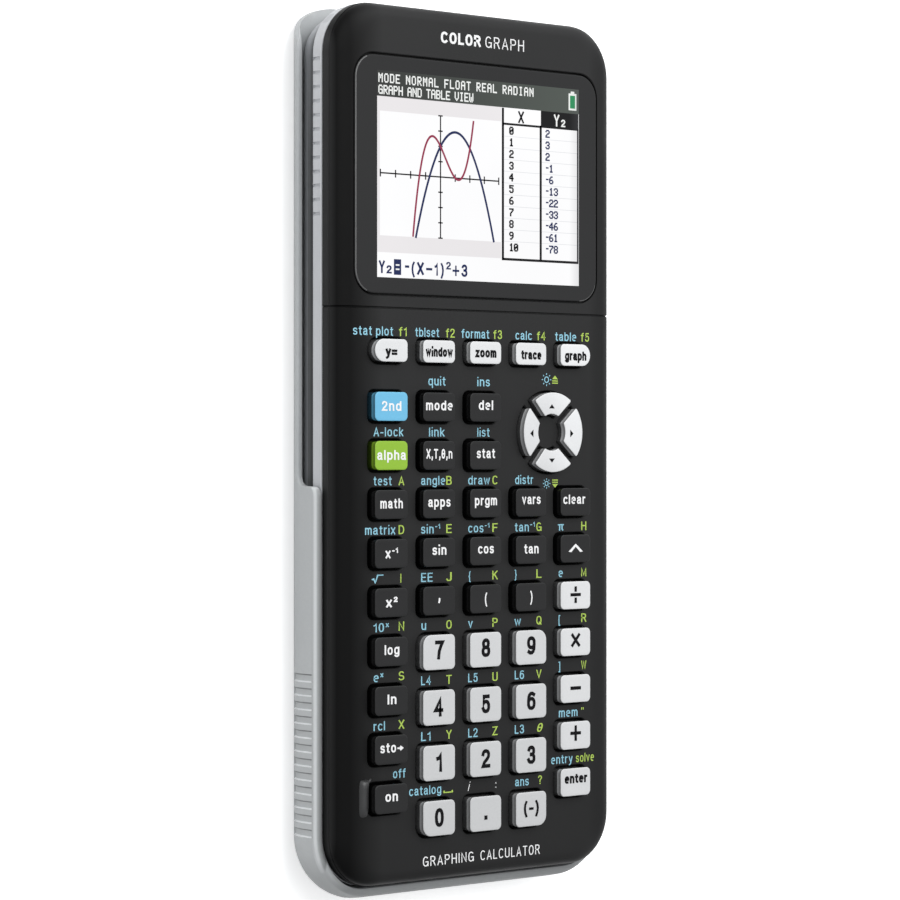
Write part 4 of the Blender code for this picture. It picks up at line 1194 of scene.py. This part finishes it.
def draw_table(image):
    for box in ((193.6, 30.5, 197.2, 213.2), (193.8, 210.2, 319.4, 213.2),
                (255.0, 48, 258.6, 211), (316.9, 48, 319.4, 212), (195, 48.2, 257, 50.8),
                (257, 30, 319.2, 50.4)):
        image.rect(*box, "black", 2)
    image.letters("X", 220, 47.3, 14.5, 0.17, "black", 3, 9.5)
    image.letters("Y", 278.5, 47.3, 14.5, 0.16, "text", 3, 9.0)
    image.letters("2", 290.5, 47.3, 9.0, 0.19, "text", 3, 7.0)
    for i, value in enumerate((2, 3, 2, -1, -6, -13, -22, -33, -46, -61, -78)):
        y = 52.6 + 14.0 * i
        image.dots(str(i), 206, y, 1.32, 7.4, "black", 2, fat=1.25)
        if value < 0:
            image.rect(265.3, y + 3.0, 269.7, y + 4.8, "navy", 2)
        image.dots(str(abs(value)), 265 if value > 0 else 271, y, 1.32, 7.6, "navy", 2, fat=1.05)
        if i:
            image.rect(196.4, y - 2.6, 255.6, y - 2.0, "rule", 1)
            image.rect(257.8, y - 2.6, 317.4, y - 2.0, "rule", 1)


def draw_formula(image):
    image.letters("Y", 2.5, 235.4, 14.8, 0.19, "navy", 2, 9.0)
    image.letters("2", 14.0, 235.4, 9.5, 0.21, "navy", 2, 8.0)
    image.rect(25.2, 218.4, 36.2, 236.6, "navy", 2)
    image.rect(28, 224.2, 33.6, 226.0, "text", 3)
    image.rect(28, 229.2, 33.6, 231.0, "text", 3)
    image.rect(42.0, 225.0, 48.5, 227.8, "navy", 2)
    image.letters("(", 52.0, 235.0, 14.0, 0.17, "navy", 2, 5.0)
    image.letters("X", 60.5, 235.4, 14.8, 0.19, "navy", 2, 10.5)
    image.rect(74.5, 226.8, 84.0, 229.6, "navy", 2)
    # text, x, baseline, capital height, weight, width
    for text, x, baseline, cap, weight, width in (
            ("1", 87.5, 235.4, 14.8, 0.19, 5.5), (")", 97.0, 235.0, 14.0, 0.17, 5.0),
            ("2", 105.5, 227.5, 9.0, 0.20, 7.5), ("+", 115.5, 237.0, 18.0, 0.14, 10.5),
            ("3", 129.5, 235.4, 14.8, 0.19, 9.5)):
        image.letters(text, x, baseline, cap, weight, "navy", 2, width)


def build_display():
    image = Display()
    for box in ((0, 0, 320, 30, "bar", 0), (0, 30, 320, 240, "white", 0),
                (0, 30, 192.5, 47, "grey", 1), (0, 191.5, 192.5, 211, "grey", 1),
                (0, 47, 4, 191.5, "grey", 1)):
        image.rect(*box)
    image.dots("MODE NORMAL FLOAT REAL RADIAN", 2, 3.4, 1.5, 8.7, "text", 1)
    image.dots("GRAPH AND TABLE VIEW", 2, 17.0, 1.5, 7.6, "text", 1)
    # battery mark
    image.rect(303, 5.5, 316, 26, "text", 1)
    image.rect(306.5, 3, 312.5, 5.5, "text", 1)
    image.rect(305.3, 8, 313.7, 23.7, "green", 2)
    draw_graph(image)
    draw_table(image)
    draw_formula(image)
    screen = piece("display_image", (image.verts, image.faces), image.materials,
                   image.face_materials, smooth=False)
    fit(screen)


# ------------------------------------------------------------------ legends on the face
# text, x of the left end, baseline y, width
BLUE_LEGENDS = (
    ("stat plot", -34.9, 24.3, 10.7), ("tblset", -18.1, 24.3, 6.6), ("format", -5.2, 24.3, 7.9),
    ("calc", 10.3, 24.3, 4.8), ("table", 22.0, 24.3, 6.3),
    ("quit", -14.5, 14.05, 4.8), ("ins", -0.7, 14.05, 3.6),
    ("A-lock", -29.5, 3.25, 8.1), ("link", -14.3, 3.25, 4.3), ("list", -0.7, 3.25, 3.5),
    ("test", -29.5, -7.0, 4.9), ("angle", -16.5, -7.0, 6.7), ("draw", -3.3, -7.0, 6.2),
    ("distr", 10.2, -7.0, 5.3),
    ("matrix", -31.8, -17.25, 8.2), ("sin^[-1]", -16.5, -17.25, 5.2),
    ("cos^[-1]", -3.3, -17.25, 6.0), ("tan^[-1]", 10.1, -17.25, 5.8), ("$", 22.8, -17.25, 1.8),
    ("~", -30.0, -27.45, 3.1), ("EE", -16.5, -27.45, 3.2), ("{", -3.2, -27.45, None),
    ("}", 10.1, -27.45, None), ("e", 23.0, -27.45, 1.3),
    ("10^[x]", -29.5, -37.6, 4.0), ("u", -16.4, -37.6, 1.3), ("v", -3.3, -37.6, 1.3),
    ("w", 10.0, -37.6, 1.9), ("[", 23.0, -37.7, None),
    ("e^[x]", -29.5, -48.0, 2.5), ("L4", -16.5, NUMBER_ROWS[1] + 4.75, 2.7),
    ("L5", -3.3, NUMBER_ROWS[1] + 4.75, 2.7), ("L6", 10.1, NUMBER_ROWS[1] + 4.75, 2.7),
    ("]", 23.0, -47.9, None),
    ("rcl", -29.5, -58.15, 3.1), ("L1", -16.5, NUMBER_ROWS[2] + 4.65, 2.7),
    ("L2", -3.3, NUMBER_ROWS[2] + 4.65, 2.7), ("L3", 10.1, NUMBER_ROWS[2] + 4.65, 2.7),
    ("mem", 23.1, -58.15, 5.6),
    ("off", -24.2, -68.35, 3.4), ("catalog", -19.8, NUMBER_ROWS[3] + 4.95, 8.9),
    ("ans", 10.2, NUMBER_ROWS[3] + 4.95, 4.0), ("entry", 20.8, -68.3, 6.4),
)
GREEN_F_KEYS = (("f1", -22.6, 24.3, 2.2), ("f2", -9.6, 24.3, 2.5), ("f3", 3.9, 24.3, 2.5),
                ("f4", 16.6, 24.3, 2.5), ("f5", 29.7, 24.3, 2.5))
GREEN_LAST = (("|", -10.3, NUMBER_ROWS[3] + 5.0, 2.7), ("?", 16.9, NUMBER_ROWS[3] + 5.0, 1.2),
              ("solve", 28.2, -68.3, 5.5))
GREEN_X = (-22.7, -9.5, 3.6, 16.4, 29.8)
# letters, baseline in the outer columns, baseline in the middle three
GREEN_ROWS = (("ABC", -7.0, -7.0), ("DEFGH", -17.25, -17.25), ("IJKLM", -27.45, -27.45),
              ("NOPQR", -37.5, NUMBER_ROWS[0] + 4.7), ("STUVW", -47.9, NUMBER_ROWS[1] + 4.7),
              ("XYZ@\"", -58.1, NUMBER_ROWS[2] + 4.7))


def face_z(x):
    """Height of the face at x: flat in the middle, rolled off beside it."""
    inset, _, base = ROLL_START
    beyond = abs(x) - (CASE_X - ROLL_SIDE)
    if beyond <= 0:
        return FACE
    share = min(1.0, beyond / (ROLL_SIDE - inset))
    return base + (FACE - base) * math.sqrt(max(0.0, 1 - share * share))


def flat(points):
    """One flat face."""
    return lift(points, 0.0), [tuple(range(len(points)))]


def brightness_marks(blue, green):
    """Above the arrow keys a sun and an up mark, below them a smaller sun and a down mark."""
    sun_x, mark_x, half = 19.45, 21.95, 0.85
    for y, up, size, line in ((15.75, 1, 1.0, 0.22), (-6.9, -1, 0.78, 0.18)):
        ring = [p for side in (1, -1) for p in circle(sun_x, y, 0.60 * size + side * line / 2, 20)]
        blue.append((lift(ring, 0.0), bridge(20, 0, 20)))
        blue[-1] = (blue[-1][0], [(20 + i, i, (i + 1) % 20, 20 + (i + 1) % 20)
                                  for i in range(20)])
        for k in range(8):
            a = math.pi / 4 * k
            ray = [(sun_x + r * COS(a), y + r * SIN(a)) for r in (1.08 * size, 1.36 * size)]
            blue.append(ribbon(ray, 0.10, ends=0.4))
        green.append(flat([(mark_x - half, y + 0.12 * up), (mark_x + half, y + 0.12 * up),
                           (mark_x, y + 0.95 * up)][::up]))
        for k in (0, 1):
            bar_y = y - (0.25 + 0.48 * k) * up
            x0, x1, y0, y1 = mark_x - half, mark_x + half, bar_y - 0.12, bar_y + 0.12
            green.append(flat([(x0, y0), (x1, y0), (x1, y1), (x0, y1)]))


def build_legends():
    def legend(text, x, y, width=None, weight=0.132, slant=0.0):
        return write(text, 1.9, weight, x, y, width, slant=slant)

    blue = [legend(*entry) for entry in BLUE_LEGENDS]
    green = [legend(*entry) for entry in GREEN_F_KEYS]
    for letters, outer_y, middle_y in GREEN_ROWS:
        for i, character in enumerate(letters):
            green.append(legend(character, GREEN_X[i] + (0.5 if character == "I" else 0.0),
                                middle_y if 1 <= i <= 3 else outer_y,
                                None if character in "I\"" else 1.55,
                                slant=0.2 if character == "@" else 0.0))
    green += [legend(*entry) for entry in GREEN_LAST]
    brightness_marks(blue, green)
    white = [legend("i", -3.4, NUMBER_ROWS[3] + 4.95, weight=0.105, slant=0.3),
             legend(":", 4.5, NUMBER_ROWS[3] + 5.0, weight=0.11)]
    # a descriptor above the display, and another below the keys
    for text, cap, weight, x, y, width, gap in (
            ("COLOR", 2.45, 0.20, -11.0, 86.75, 11.3, 0.14),
            ("GRAPH", 2.45, 0.095, 1.6, 86.75, 11.2, 0.2),
            ("GRAPHING", 2.1, 0.105, -16.0, -87.55, 14.3, 0.2),
            ("CALCULATOR", 2.1, 0.105, 0.2, -87.55, 17.2, 0.2)):
        white.append(write(text, cap, weight, x, y, width, gap=gap))
    for colour, solids in (("blue", blue), ("green", green), ("white", white)):
        verts, faces = merged(solids)
        verts = [(x, y, face_z(x) + PRINT_LIFT + z) for x, y, z in verts]
        part = piece("legend_" + colour, (verts, faces), ["ink_" + colour], smooth=False)
        fit(part)


# ------------------------------------------------------------------ rear shell
# inset from the case's outline, height: from the upper rim down the band and the channel
REAR_PROFILE = (
    (0.50, 12.44), (0.34, 12.51), (0.12, 12.47), (0.0, 12.34), (0.0, 12.02), (0.07, 11.93),
    (0.22, 11.88), (0.26, 11.80), (0.26, 11.0), (0.26, 10.4), (0.26, 9.46), (0.32, 9.24),
    (0.46, 9.08), (0.66, 9.0), (1.72, 9.0), (1.88, 8.93), (1.95, 8.75), (1.95, 7.5), (1.95, 5.5),
)


def bay_ring(grow, z):
    return lift(grown_outline(0.0, BAY_Y, BAY_W, BAY_H, grow, (BAY_R,) * 4, 5), z)


def rear_finish(centre, normal):
    """0 for the silver band, 2 for the channel under it, painted darker as shade, 1 for the tub."""
    x, y, z = (c / MM for c in centre)
    if z > 8.98 and (abs(x) > 36.8 or y > 91.1 or y < -88.0):
        return 0
    if 5.4 < z < 8.97 and abs(normal[2]) < 0.3 and (abs(x) > 36.8 or abs(y) > 80.0):
        return 2
    return 1


def rear_openings():
    """The battery bay, the reset hole and the screw wells, cut from the back."""
    cuts = [skin([bay_ring(0.5, 1.5), bay_ring(0.18, 2.02), bay_ring(0.0, 2.2),
                  bay_ring(0.0, 4.2)]),
            skin([disc(RESET_X, RESET_Y, r, z) for r, z in
                  ((2.0, 1.5), (1.62, 2.05), (1.5, 2.2), (1.5, 4.2))])]
    for x, y in SCREW_POSTS:
        cuts.append(skin([disc(x, y, r, z) for r, z in
                          ((2.6, 1.5), (2.25, 2.03), (2.1, 2.2), (2.1, 3.1))]))
    return merged(cuts)


def side_openings():
    """Two ports in the right side, and twelve notches in the band on both sides."""
    cuts = []
    for y, half, z0 in ((PORT_Y["link"], 4.2, 6.4), (PORT_Y["data"], 3.0, 5.9)):
        cuts.append(skin([
            upright(outline(y - half - grow, y + half + grow, z0 - grow, 11.2 + grow,
                            0.9 + grow, 4), x)
            for grow, x in ((0.0, 34.5), (0.0, 39.15), (0.35, 39.6), (0.8, 40.6))]))
    for i in range(12):
        notch_y = 81.84 - 2.935 * i
        section = [(x, notch_y + dy) for x, dy in
                   ((39.9, 0.34), (38.95, 0.30), (38.95, 0.02), (39.25, -0.45), (39.9, -0.95))]
        for side in (-1, 1):
            cuts.append(skin([[(side * x, y, z) for x, y in section] for z in (9.32, 11.78)]))
    return merged(cuts)


def build_rear_shell():
    foot_inset, foot_z, foot_r, wall = *REAR_PROFILE[-1], 3.5, 3.55
    profile = list(REAR_PROFILE)
    for sine, cosine in quarter(8):
        profile.append((foot_inset + foot_r * (1 - cosine), foot_z - foot_r * sine))
    rings = [body_ring(inset, inset, z, max(2.0, CASE_R - inset)) for inset, z in profile]
    outer = len(rings)
    rings += [body_ring(wall, wall, z, 7.4) for z in (3.6, 12.44)]
    n = len(rings[0])
    faces = []
    for k in range(outer - 1):
        faces += bridge((k + 1) * n, k * n, n)
    faces.append(tuple(range(outer * n - 1, (outer - 1) * n - 1, -1)))
    faces.append(tuple(range(outer * n, (outer + 1) * n)))
    a, b = outer * n, (outer + 1) * n
    faces += [(a + (i + 1) % n, a + i, b + i, b + (i + 1) % n) for i in range(n)]
    faces += bridge(0, b, n)
    rear = piece("rear_shell", ([p for ring in rings for p in ring], faces),
                 ["silver", "tub", "channel"], smooth=False)
    face_outward(rear.data)
    carve(rear, rear_openings())
    carve(rear, side_openings())
    tidy(rear, 30.0)
    for face in rear.data.polygons:
        face.material_index = rear_finish(face.center, face.normal)
    fit(rear, "rear_case")


def screw(name, x, y, z, radius=1.75):
    """A pan-head screw facing the back, with a cross recess."""
    # share of the radius, height above z
    profile = ((0.05, 0.0), (0.55, 0.0), (0.82, 0.10), (0.96, 0.28), (1.0, 0.5), (1.0, 0.75))
    rings = [disc(x, y, radius * share, z + height) for share, height in profile]
    part = piece(name, flipped(skin(rings)), ["steel"], smooth=False)
    for half_x, half_y in ((0.32, 1.0), (1.0, 0.32)):
        arm = [(x + a * half_x, y + b * half_y) for a, b in ((-1, -1), (1, -1), (1, 1), (-1, 1))]
        carve(part, skin([lift(arm, height) for height in (z - 0.2, z + 0.4)]))
    tidy(part, 40)
    fit(part)


def build_battery_cover():
    """The battery door with its grip lines and screw well, two tongues and the screw."""
    clearance = 0.28
    upper_y, screw_y = BAY_Y + BAY_H / 2, BAY_Y - BAY_H / 2 + 3.6
    rings = [bay_ring(grow - clearance, z) for grow, z in
             ((-0.22, 2.0), (-0.06, 2.06), (0.0, 2.22), (0.0, 3.3))]
    cover = piece("battery_cover", flipped(skin(rings)), ["tub"], smooth=False)
    face_outward(cover.data)
    cuts = [skin([disc(0, screw_y, r, z) for r, z in ((2.4, 1.5), (2.1, 2.15), (2.0, 2.9))])]
    for k in range(5):
        half = 9.0 - k * 1.5
        y = upper_y - 4.0 - 1.6 * k
        cuts.append(skin([lift(outline(-half - grow, half + grow, y - 0.28 - grow,
                                       y + 0.28 + grow, 0.27 + grow, 3), z)
                          for grow, z in ((0.25, 1.8), (0.12, 2.02), (0.0, 2.22))]))
    carve(cover, merged(cuts))
    tidy(cover, 30)
    fit(cover, "battery_door")
    hook = 3.95
    # y from the bay's upper edge, height
    section = ((-1.6, 3.25), (-0.6, 3.25), (-0.5, 3.4), (-0.5, hook), (1.5, hook),
               (1.6, hook + 0.1), (1.6, hook + 0.65), (-1.6, hook + 0.65))
    for side, word in ((-1, "left"), (1, "right")):
        rings = [[(side * 20 + x, upper_y + dy, z) for dy, z in section] for x in (-3, 3)]
        tongue = piece("battery_cover_tongue_" + word, skin(rings), ["tub"], smooth=False)
        fit(tongue)
    screw("battery_cover_screw", 0, screw_y, 2.2, radius=1.6)


def build_back_details():
    """Rubber feet, the rating label and the reset plunger."""
    for i, (x, y) in enumerate(((-27, 80), (27, 80), (-27, -76), (27, -76))):
        rings = [disc(x, y, r, z, 32) for r, z in ((3.2, 1.82), (3.5, 1.9), (3.55, 2.05))]
        foot = piece("rubber_foot_%d" % (i + 1), flipped(skin(rings)), ["rubber"], angle=50)
        fit(foot)
    rings = [lift(outline(-20, 20, 44, 60, 1.5, 5), z) for z in (1.95, 2.02)]
    label = piece("rating_label", flipped(skin(rings)), ["label"], smooth=False)
    fit(label)
    profile = ((1.05, 2.4), (1.25, 2.5), (1.3, 2.7), (1.3, 4.2), (2.3, 4.2), (2.3, 5.0),
               (1.3, 5.0), (1.3, 9.3))    # radius, height
    rings = [disc(RESET_X, RESET_Y, r, z) for r, z in profile]
    plunger = piece("reset_plunger", flipped(skin(rings)), ["tub"], angle=50)
    fit(plunger, "reset_button", "reset")


# ------------------------------------------------------------------ sliding cover
COVER_X, COVER_Y0, COVER_Y1 = 41.2, -94.0, 94.0
COVER_R, COVER_R_IN = 14.0, 11.5      # plan radii, outside and inside
FOOT_R, FOOT_R_IN = 8.0, 6.0          # radii where the wall turns into the floor
WALL_SIDE, WALL_END, COVER_FLOOR = 1.3, 2.6, 1.7
RIM_HIGH, RIM_LOW, RIM_TIP = 13.05, 6.2, 2.0
FOOT_IN_Z = 7.7                       # centre height of the inner foot radius


def rim_stations():
    """(y, rim height) down the side wall, from the upper end to the straight high part."""
    stations = [(100.0, RIM_TIP), (95.0, RIM_TIP)]
    for k in range(11):
        t = k / 10
        stations.append((93.5 - 9.0 * t, RIM_TIP + (RIM_LOW - RIM_TIP) * (3 * t * t - 2 * t ** 3)))
    stations += [(y, RIM_LOW) for y in (70.0, 50.0, 30.0, 10.0, 0.0, -3.0)]
    angles = [math.radians(86 * k / 8) for k in range(9)]
    for a in angles:    # foot of the step
        stations.append((-4.6 - 2.5 * SIN(a), RIM_LOW + 2.5 * (1 - COS(a))))
    foot_y = stations[-1][0]
    for k in range(9):    # its shoulder
        a = math.radians(86 * (1 - k / 8))
        stations.append((foot_y - 0.12 - 2.0 * (1 - SIN(a)), RIM_HIGH - 2.0 * (1 - COS(a))))
    return stations + [(y, RIM_HIGH) for y in (-12.0, -20.0, -40.0, -60.0, -72.0)]


def cover_path():
    """Round the wall from upper left to upper right: outer point, inner point, inward, rim."""
    path = [((-COVER_X, y), (-COVER_X + WALL_SIDE, y), (1.0, 0.0), rim)
            for y, rim in rim_stations()]
    for k in range(17):
        a = math.radians(180 + 90 * k / 16)
        c, s = COS(a), SIN(a)
        path.append(((-COVER_X + COVER_R + COVER_R * c, COVER_Y0 + COVER_R + COVER_R * s),
                     (-COVER_X + WALL_SIDE + COVER_R_IN + COVER_R_IN * c,
                      COVER_Y0 + WALL_END + COVER_R_IN + COVER_R_IN * s), (-c, -s), RIM_HIGH))
    return path + [((-x, y), (-xi, yi), (-nx, ny), rim)
                   for (x, y), (xi, yi), (nx, ny), rim in reversed(path)]


def wall_section(rim, lean):
    """(is outside, inset, z): up the outside from the back, then down the inside to the floor."""
    raised_share = max(0.0, min(1.0, (rim - RIM_LOW) / (RIM_HIGH - RIM_LOW)))
    edge_r = 0.32 + (1.25 - 0.32) * raised_share
    if rim < 4:
        edge_r = min(edge_r, 0.25)
    points = []
    top = min(rim - edge_r, FOOT_R)
    turn = math.acos(max(-1.0, 1 - top / FOOT_R))
    for k in range(11):
        a = turn * k / 10
        points.append((True, FOOT_R * (1 - SIN(a)), FOOT_R * (1 - COS(a))))
    inset = points[-1][1]
    for k, share in ((1, 0.3), (2, 0.8)):
        points.append((True, inset + lean * share,
                       top + (rim - edge_r - top) * k / 2 + 1e-4 * k))
    for sine, cosine in quarter(6):
        points.append((True, inset + lean * (0.8 + 0.2 * sine) + edge_r * (1 - cosine),
                       rim - edge_r + edge_r * sine))
    inner_r = min(0.22, (rim - COVER_FLOOR) * 0.7)
    z = min(rim - inner_r, FOOT_IN_Z)
    inset = FOOT_R_IN * (1 - math.sqrt(max(0.0, 1 - ((FOOT_IN_Z - z) / FOOT_R_IN) ** 2)))
    points.append((False, inset - inner_r, rim))
    points.append((False, inset - inner_r * 0.3, rim - inner_r * 0.3))
    points.append((False, inset, rim - inner_r))
    points.append((False, inset, z - 1e-4))
    start = math.pi / 2
    if z < FOOT_IN_Z:
        start = math.acos(max(0.0, min(1.0, (FOOT_IN_Z - z) / FOOT_R_IN)))
    for k in range(1, 10):
        a = start * (1 - k / 9)
        points.append((False, FOOT_R_IN * (1 - SIN(a)), FOOT_IN_Z - FOOT_R_IN * COS(a)))
    return points


def grip_grooves():
    """Twelve grooves in the lower part of each side, following the wall's curve."""
    cuts = []
    for i in range(12):
        groove_y = -46.13 - 2.93 * i - 0.825
        for side in (-1, 1):
            rings = []
            for dy, depth in ((-1.12, -0.30), (-0.62, 0.40), (0.54, 0.40), (1.08, -0.30)):
                y = groove_y + dy
                ring = []
                for z in (3.35, 4.1, 5.0, 6.0, 7.0, 8.0, 9.6, 11.2):
                    inset, nx, nz = 0.0, 1.0, 0.0
                    if z < FOOT_R:
                        a = math.acos((FOOT_R - z) / FOOT_R)
                        inset, nx, nz = FOOT_R * (1 - SIN(a)), SIN(a), -COS(a)
                    ring.append((side * (COVER_X - inset - depth * nx), y, z - depth * nz))
                x0, _, z0 = ring[0]
                rings.append(ring + [(side * 43.0, y, 11.2), (side * 43.0, y, z0 - 2.0),
                                     (x0 + side * 0.8, y, z0 - 1.2)])
            cuts.append(skin(rings))
    return merged(cuts)


def build_cover():
    end_lean = 0.80
    rows = []
    for outer, inner, (nx, ny), rim in cover_path():
        lean = end_lean * max(0.0, ny) ** 1.2 if rim == RIM_HIGH else 0.0
        row = []
        for outside, inset, z in wall_section(rim, lean):
            x, y = outer if outside else inner
            row.append((x + nx * inset, y + ny * inset, max(z, 0.0)))
        rows.append(row)
    m, n = len(rows[0]), len(rows)
    faces = []
    for i in range(n - 1):
        for k in range(m - 1):
            faces.append((i * m + k, (i + 1) * m + k, (i + 1) * m + k + 1, i * m + k + 1))
    # the back, the floor inside, and the upper end
    faces.append(tuple(i * m for i in range(n - 1, -1, -1)))
    faces.append(tuple(i * m + m - 1 for i in range(n)))
    faces.append(tuple([*range(m), *((n - 1) * m + k for k in range(m - 1, -1, -1))]))
    cover = piece("cover_shell", ([p for row in rows for p in row], faces), ["cover"],
                  smooth=False)
    face_outward(cover.data, weld=True)
    plan = outline(-COVER_X - 1, COVER_X + 1, COVER_Y0 - 20, COVER_Y1, COVER_R + 0.9, 16)
    carve(cover, skin([lift(plan, z) for z in (-1.0, 20.0)]), "INTERSECT")
    carve(cover, grip_grooves())
    tidy(cover, 32.0)
    fit(cover, "slide_cover", "cover")
    section = ((40.3, 6.9), (38.3, 6.9), (38.0, 7.2), (38.0, 8.3), (38.3, 8.6), (40.3, 8.6))
    for side, word in ((-1, "left"), (1, "right")):
        rings = [[(side * x, y, z) for x, z in section] for y in (-76.0, -12.0)]
        rail = piece("cover_rail_" + word, skin(rings), ["cover"], smooth=False)
        fit(rail, rides="cover")


# ------------------------------------------------------------------ sockets and inner parts
def build_sockets():
    """Sockets behind the two ports in the right side."""
    base_x = 37.02
    for tag, half, z0, z1, material in (("link", 3.75, 6.75, 10.75, "steel"),
                                        ("data", 2.55, 6.25, 10.85, "chip")):
        y = PORT_Y[tag]
        rings = [upright(outline(y - half + inset, y + half - inset, z0 + inset, z1 - inset,
                                 0.9, 4), x)
                 for inset, x in ((0.0, base_x), (0.0, 38.7), (0.08, 38.8), (0.35, 38.8),
                                  (0.42, 38.7), (0.42, base_x))]
        part = piece("socket_shell_" + tag, skin(rings, loop=True), [material], smooth=False)
        fit(part)
    link_y = PORT_Y["link"]
    section = outline(link_y - 2.5, link_y + 2.5, 8.4, 9.1, 0.15, 2)
    tongue = piece("socket_tongue", skin([upright(section, x) for x in (base_x, 38.4)]),
                   ["chip"], smooth=False)
    fit(tongue)
    contacts = []
    for k in range(5):
        y = link_y - 1.6 + 0.8 * k
        section = outline(y - 0.2, y + 0.2, 8.28, 8.42, 0.03, 1)
        contacts.append(skin([upright(section, x) for x in (37.1, 38.25)]))
    fit(piece("socket_contacts", merged(contacts), ["gold"], smooth=False))
    rings = [upright(circle(PORT_Y["data"], 8.55, r), 37.03 + x) for x, r in
             ((0, 1.9), (1.2, 1.9), (1.3, 1.8), (1.3, 1.4), (1.2, 1.3), (0, 1.3))]
    fit(piece("jack_ring", skin(rings, loop=True), ["steel"], smooth=False))


def build_inner_parts():
    for node, key in (("main_board", "board"), ("keypad_membrane", "rubber"),
                      ("lcd_module", "lcd_body"), ("battery_pack", "battery")):
        materials = bpy.data.objects[node].data.materials
        materials.clear()
        materials.append(MATERIALS[key])
    chip_top = 10.6
    chips = []
    # x0, x1, y0, y1, lower z
    for x0, x1, y0, y1, z0 in ((-24, -15, 55, 62, 9.5), (12, 17, 58, 66, 9.6),
                               (-26, -20, 34, 37, 9.8), (6, 9, 48, 51, 9.7),
                               (-8, -2, 74, 78, 9.9)):
        chips.append(skin([lift(outline(x0 + inset, x1 - inset, y0 + inset, y1 - inset, 0.25, 2), z)
                           for inset, z in ((0.2, z0), (0.0, z0 + 0.2), (0.0, chip_top))]))
    fit(piece("board_chips", merged(chips), ["chip"], smooth=False))
    rings = []
    for k in range(9):    # a sagging ribbon along Y
        t = k / 8
        y, z = 45.5 - 5.0 * t, 9.0 - 1.3 * SIN(math.pi * t) + 0.6 * t - 0.8
        rings.append([(-21, y, z), (1, y, z), (1, y, z + 0.12), (-21, y, z + 0.12)])
    fit(piece("display_flex", skin(rings), ["gold"], angle=50))
    # offset in x, y, height of a wire's centre line
    stations = ((0.0, 20.4, 8.0), (0.1, 19.0, 7.6), (0.5, 17.2, 7.0), (0.9, 15.2, 6.8),
                (1.2, 11.2, 6.8))
    wires = [skin([[(px, y, pz) for px, pz in circle(x + dx, z, 0.5, 10)]
                   for dx, y, z in stations]) for x in (-25.4, -23.6, -21.8)]
    fit(piece("battery_lead", merged(wires), ["slot_black"], angle=60))


# ------------------------------------------------------------------ floor, light and camera
def build_stage():
    half, floor_z = 3000, -0.02
    corners = [(-half, -half), (half, -half), (half, half), (-half, half)]
    floor = piece("floor", (lift(corners, floor_z), [(0, 1, 2, 3)]), ["floor"], smooth=False)

    net = Net(bpy.data.worlds.new("studio"), shader="Background", coordinates="Generated")
    net.surface({"Color": (0.97, 0.985, 1.0), "Strength": 0.62})    # level if the ramp is unlinked
    x, y, z = net.axes(net.coord)
    net.surface({"Strength": net.span(y, over=(-1.0, 1.0), to=(0.26, 1.06))})
    SCENE.world = net.data

    lamp = bpy.data.lights.new("top_softbox", "AREA")
    lamp.shape, lamp.size, lamp.energy = "SQUARE", 0.9, 7.0
    softbox = link_object("top_softbox", lamp)
    softbox.location = (0.10, 0.50, 1.0)
    softbox.rotation_mode = "QUATERNION"
    aim = Vector((0, 0, 0)) - Vector((0.10, 0.50, 1.0))
    softbox.rotation_quaternion = aim.to_track_quat("-Z", "Y")

    lens = bpy.data.cameras.new("camera")
    lens.lens, lens.sensor_width, lens.sensor_fit = 128.88, 36.0, "AUTO"
    lens.clip_start, lens.clip_end = 0.01, 20.0
    camera = link_object("camera", lens)
    camera.matrix_world = Matrix(((0.7557, 0.0, -0.6549, -0.4569), (0.0, 1.0, 0.0, 0.0004),
                                  (0.6549, 0.0, 0.7557, 0.5347), (0, 0, 0, 1)))
    SCENE.camera = camera
    SCENE.view_settings.view_transform = "Standard"
    SCENE.view_settings.look = "None"


build_keys()
build_arrow_keys()
build_front_shell()
build_on_key_guard()
build_window()
build_display()
build_legends()
build_rear_shell()
for number, (post_x, post_y) in enumerate(SCREW_POSTS, 1):
    screw("case_screw_%d" % number, post_x, post_y, 2.32)
build_battery_cover()
build_back_details()
build_cover()
build_sockets()
build_inner_parts()
build_stage()
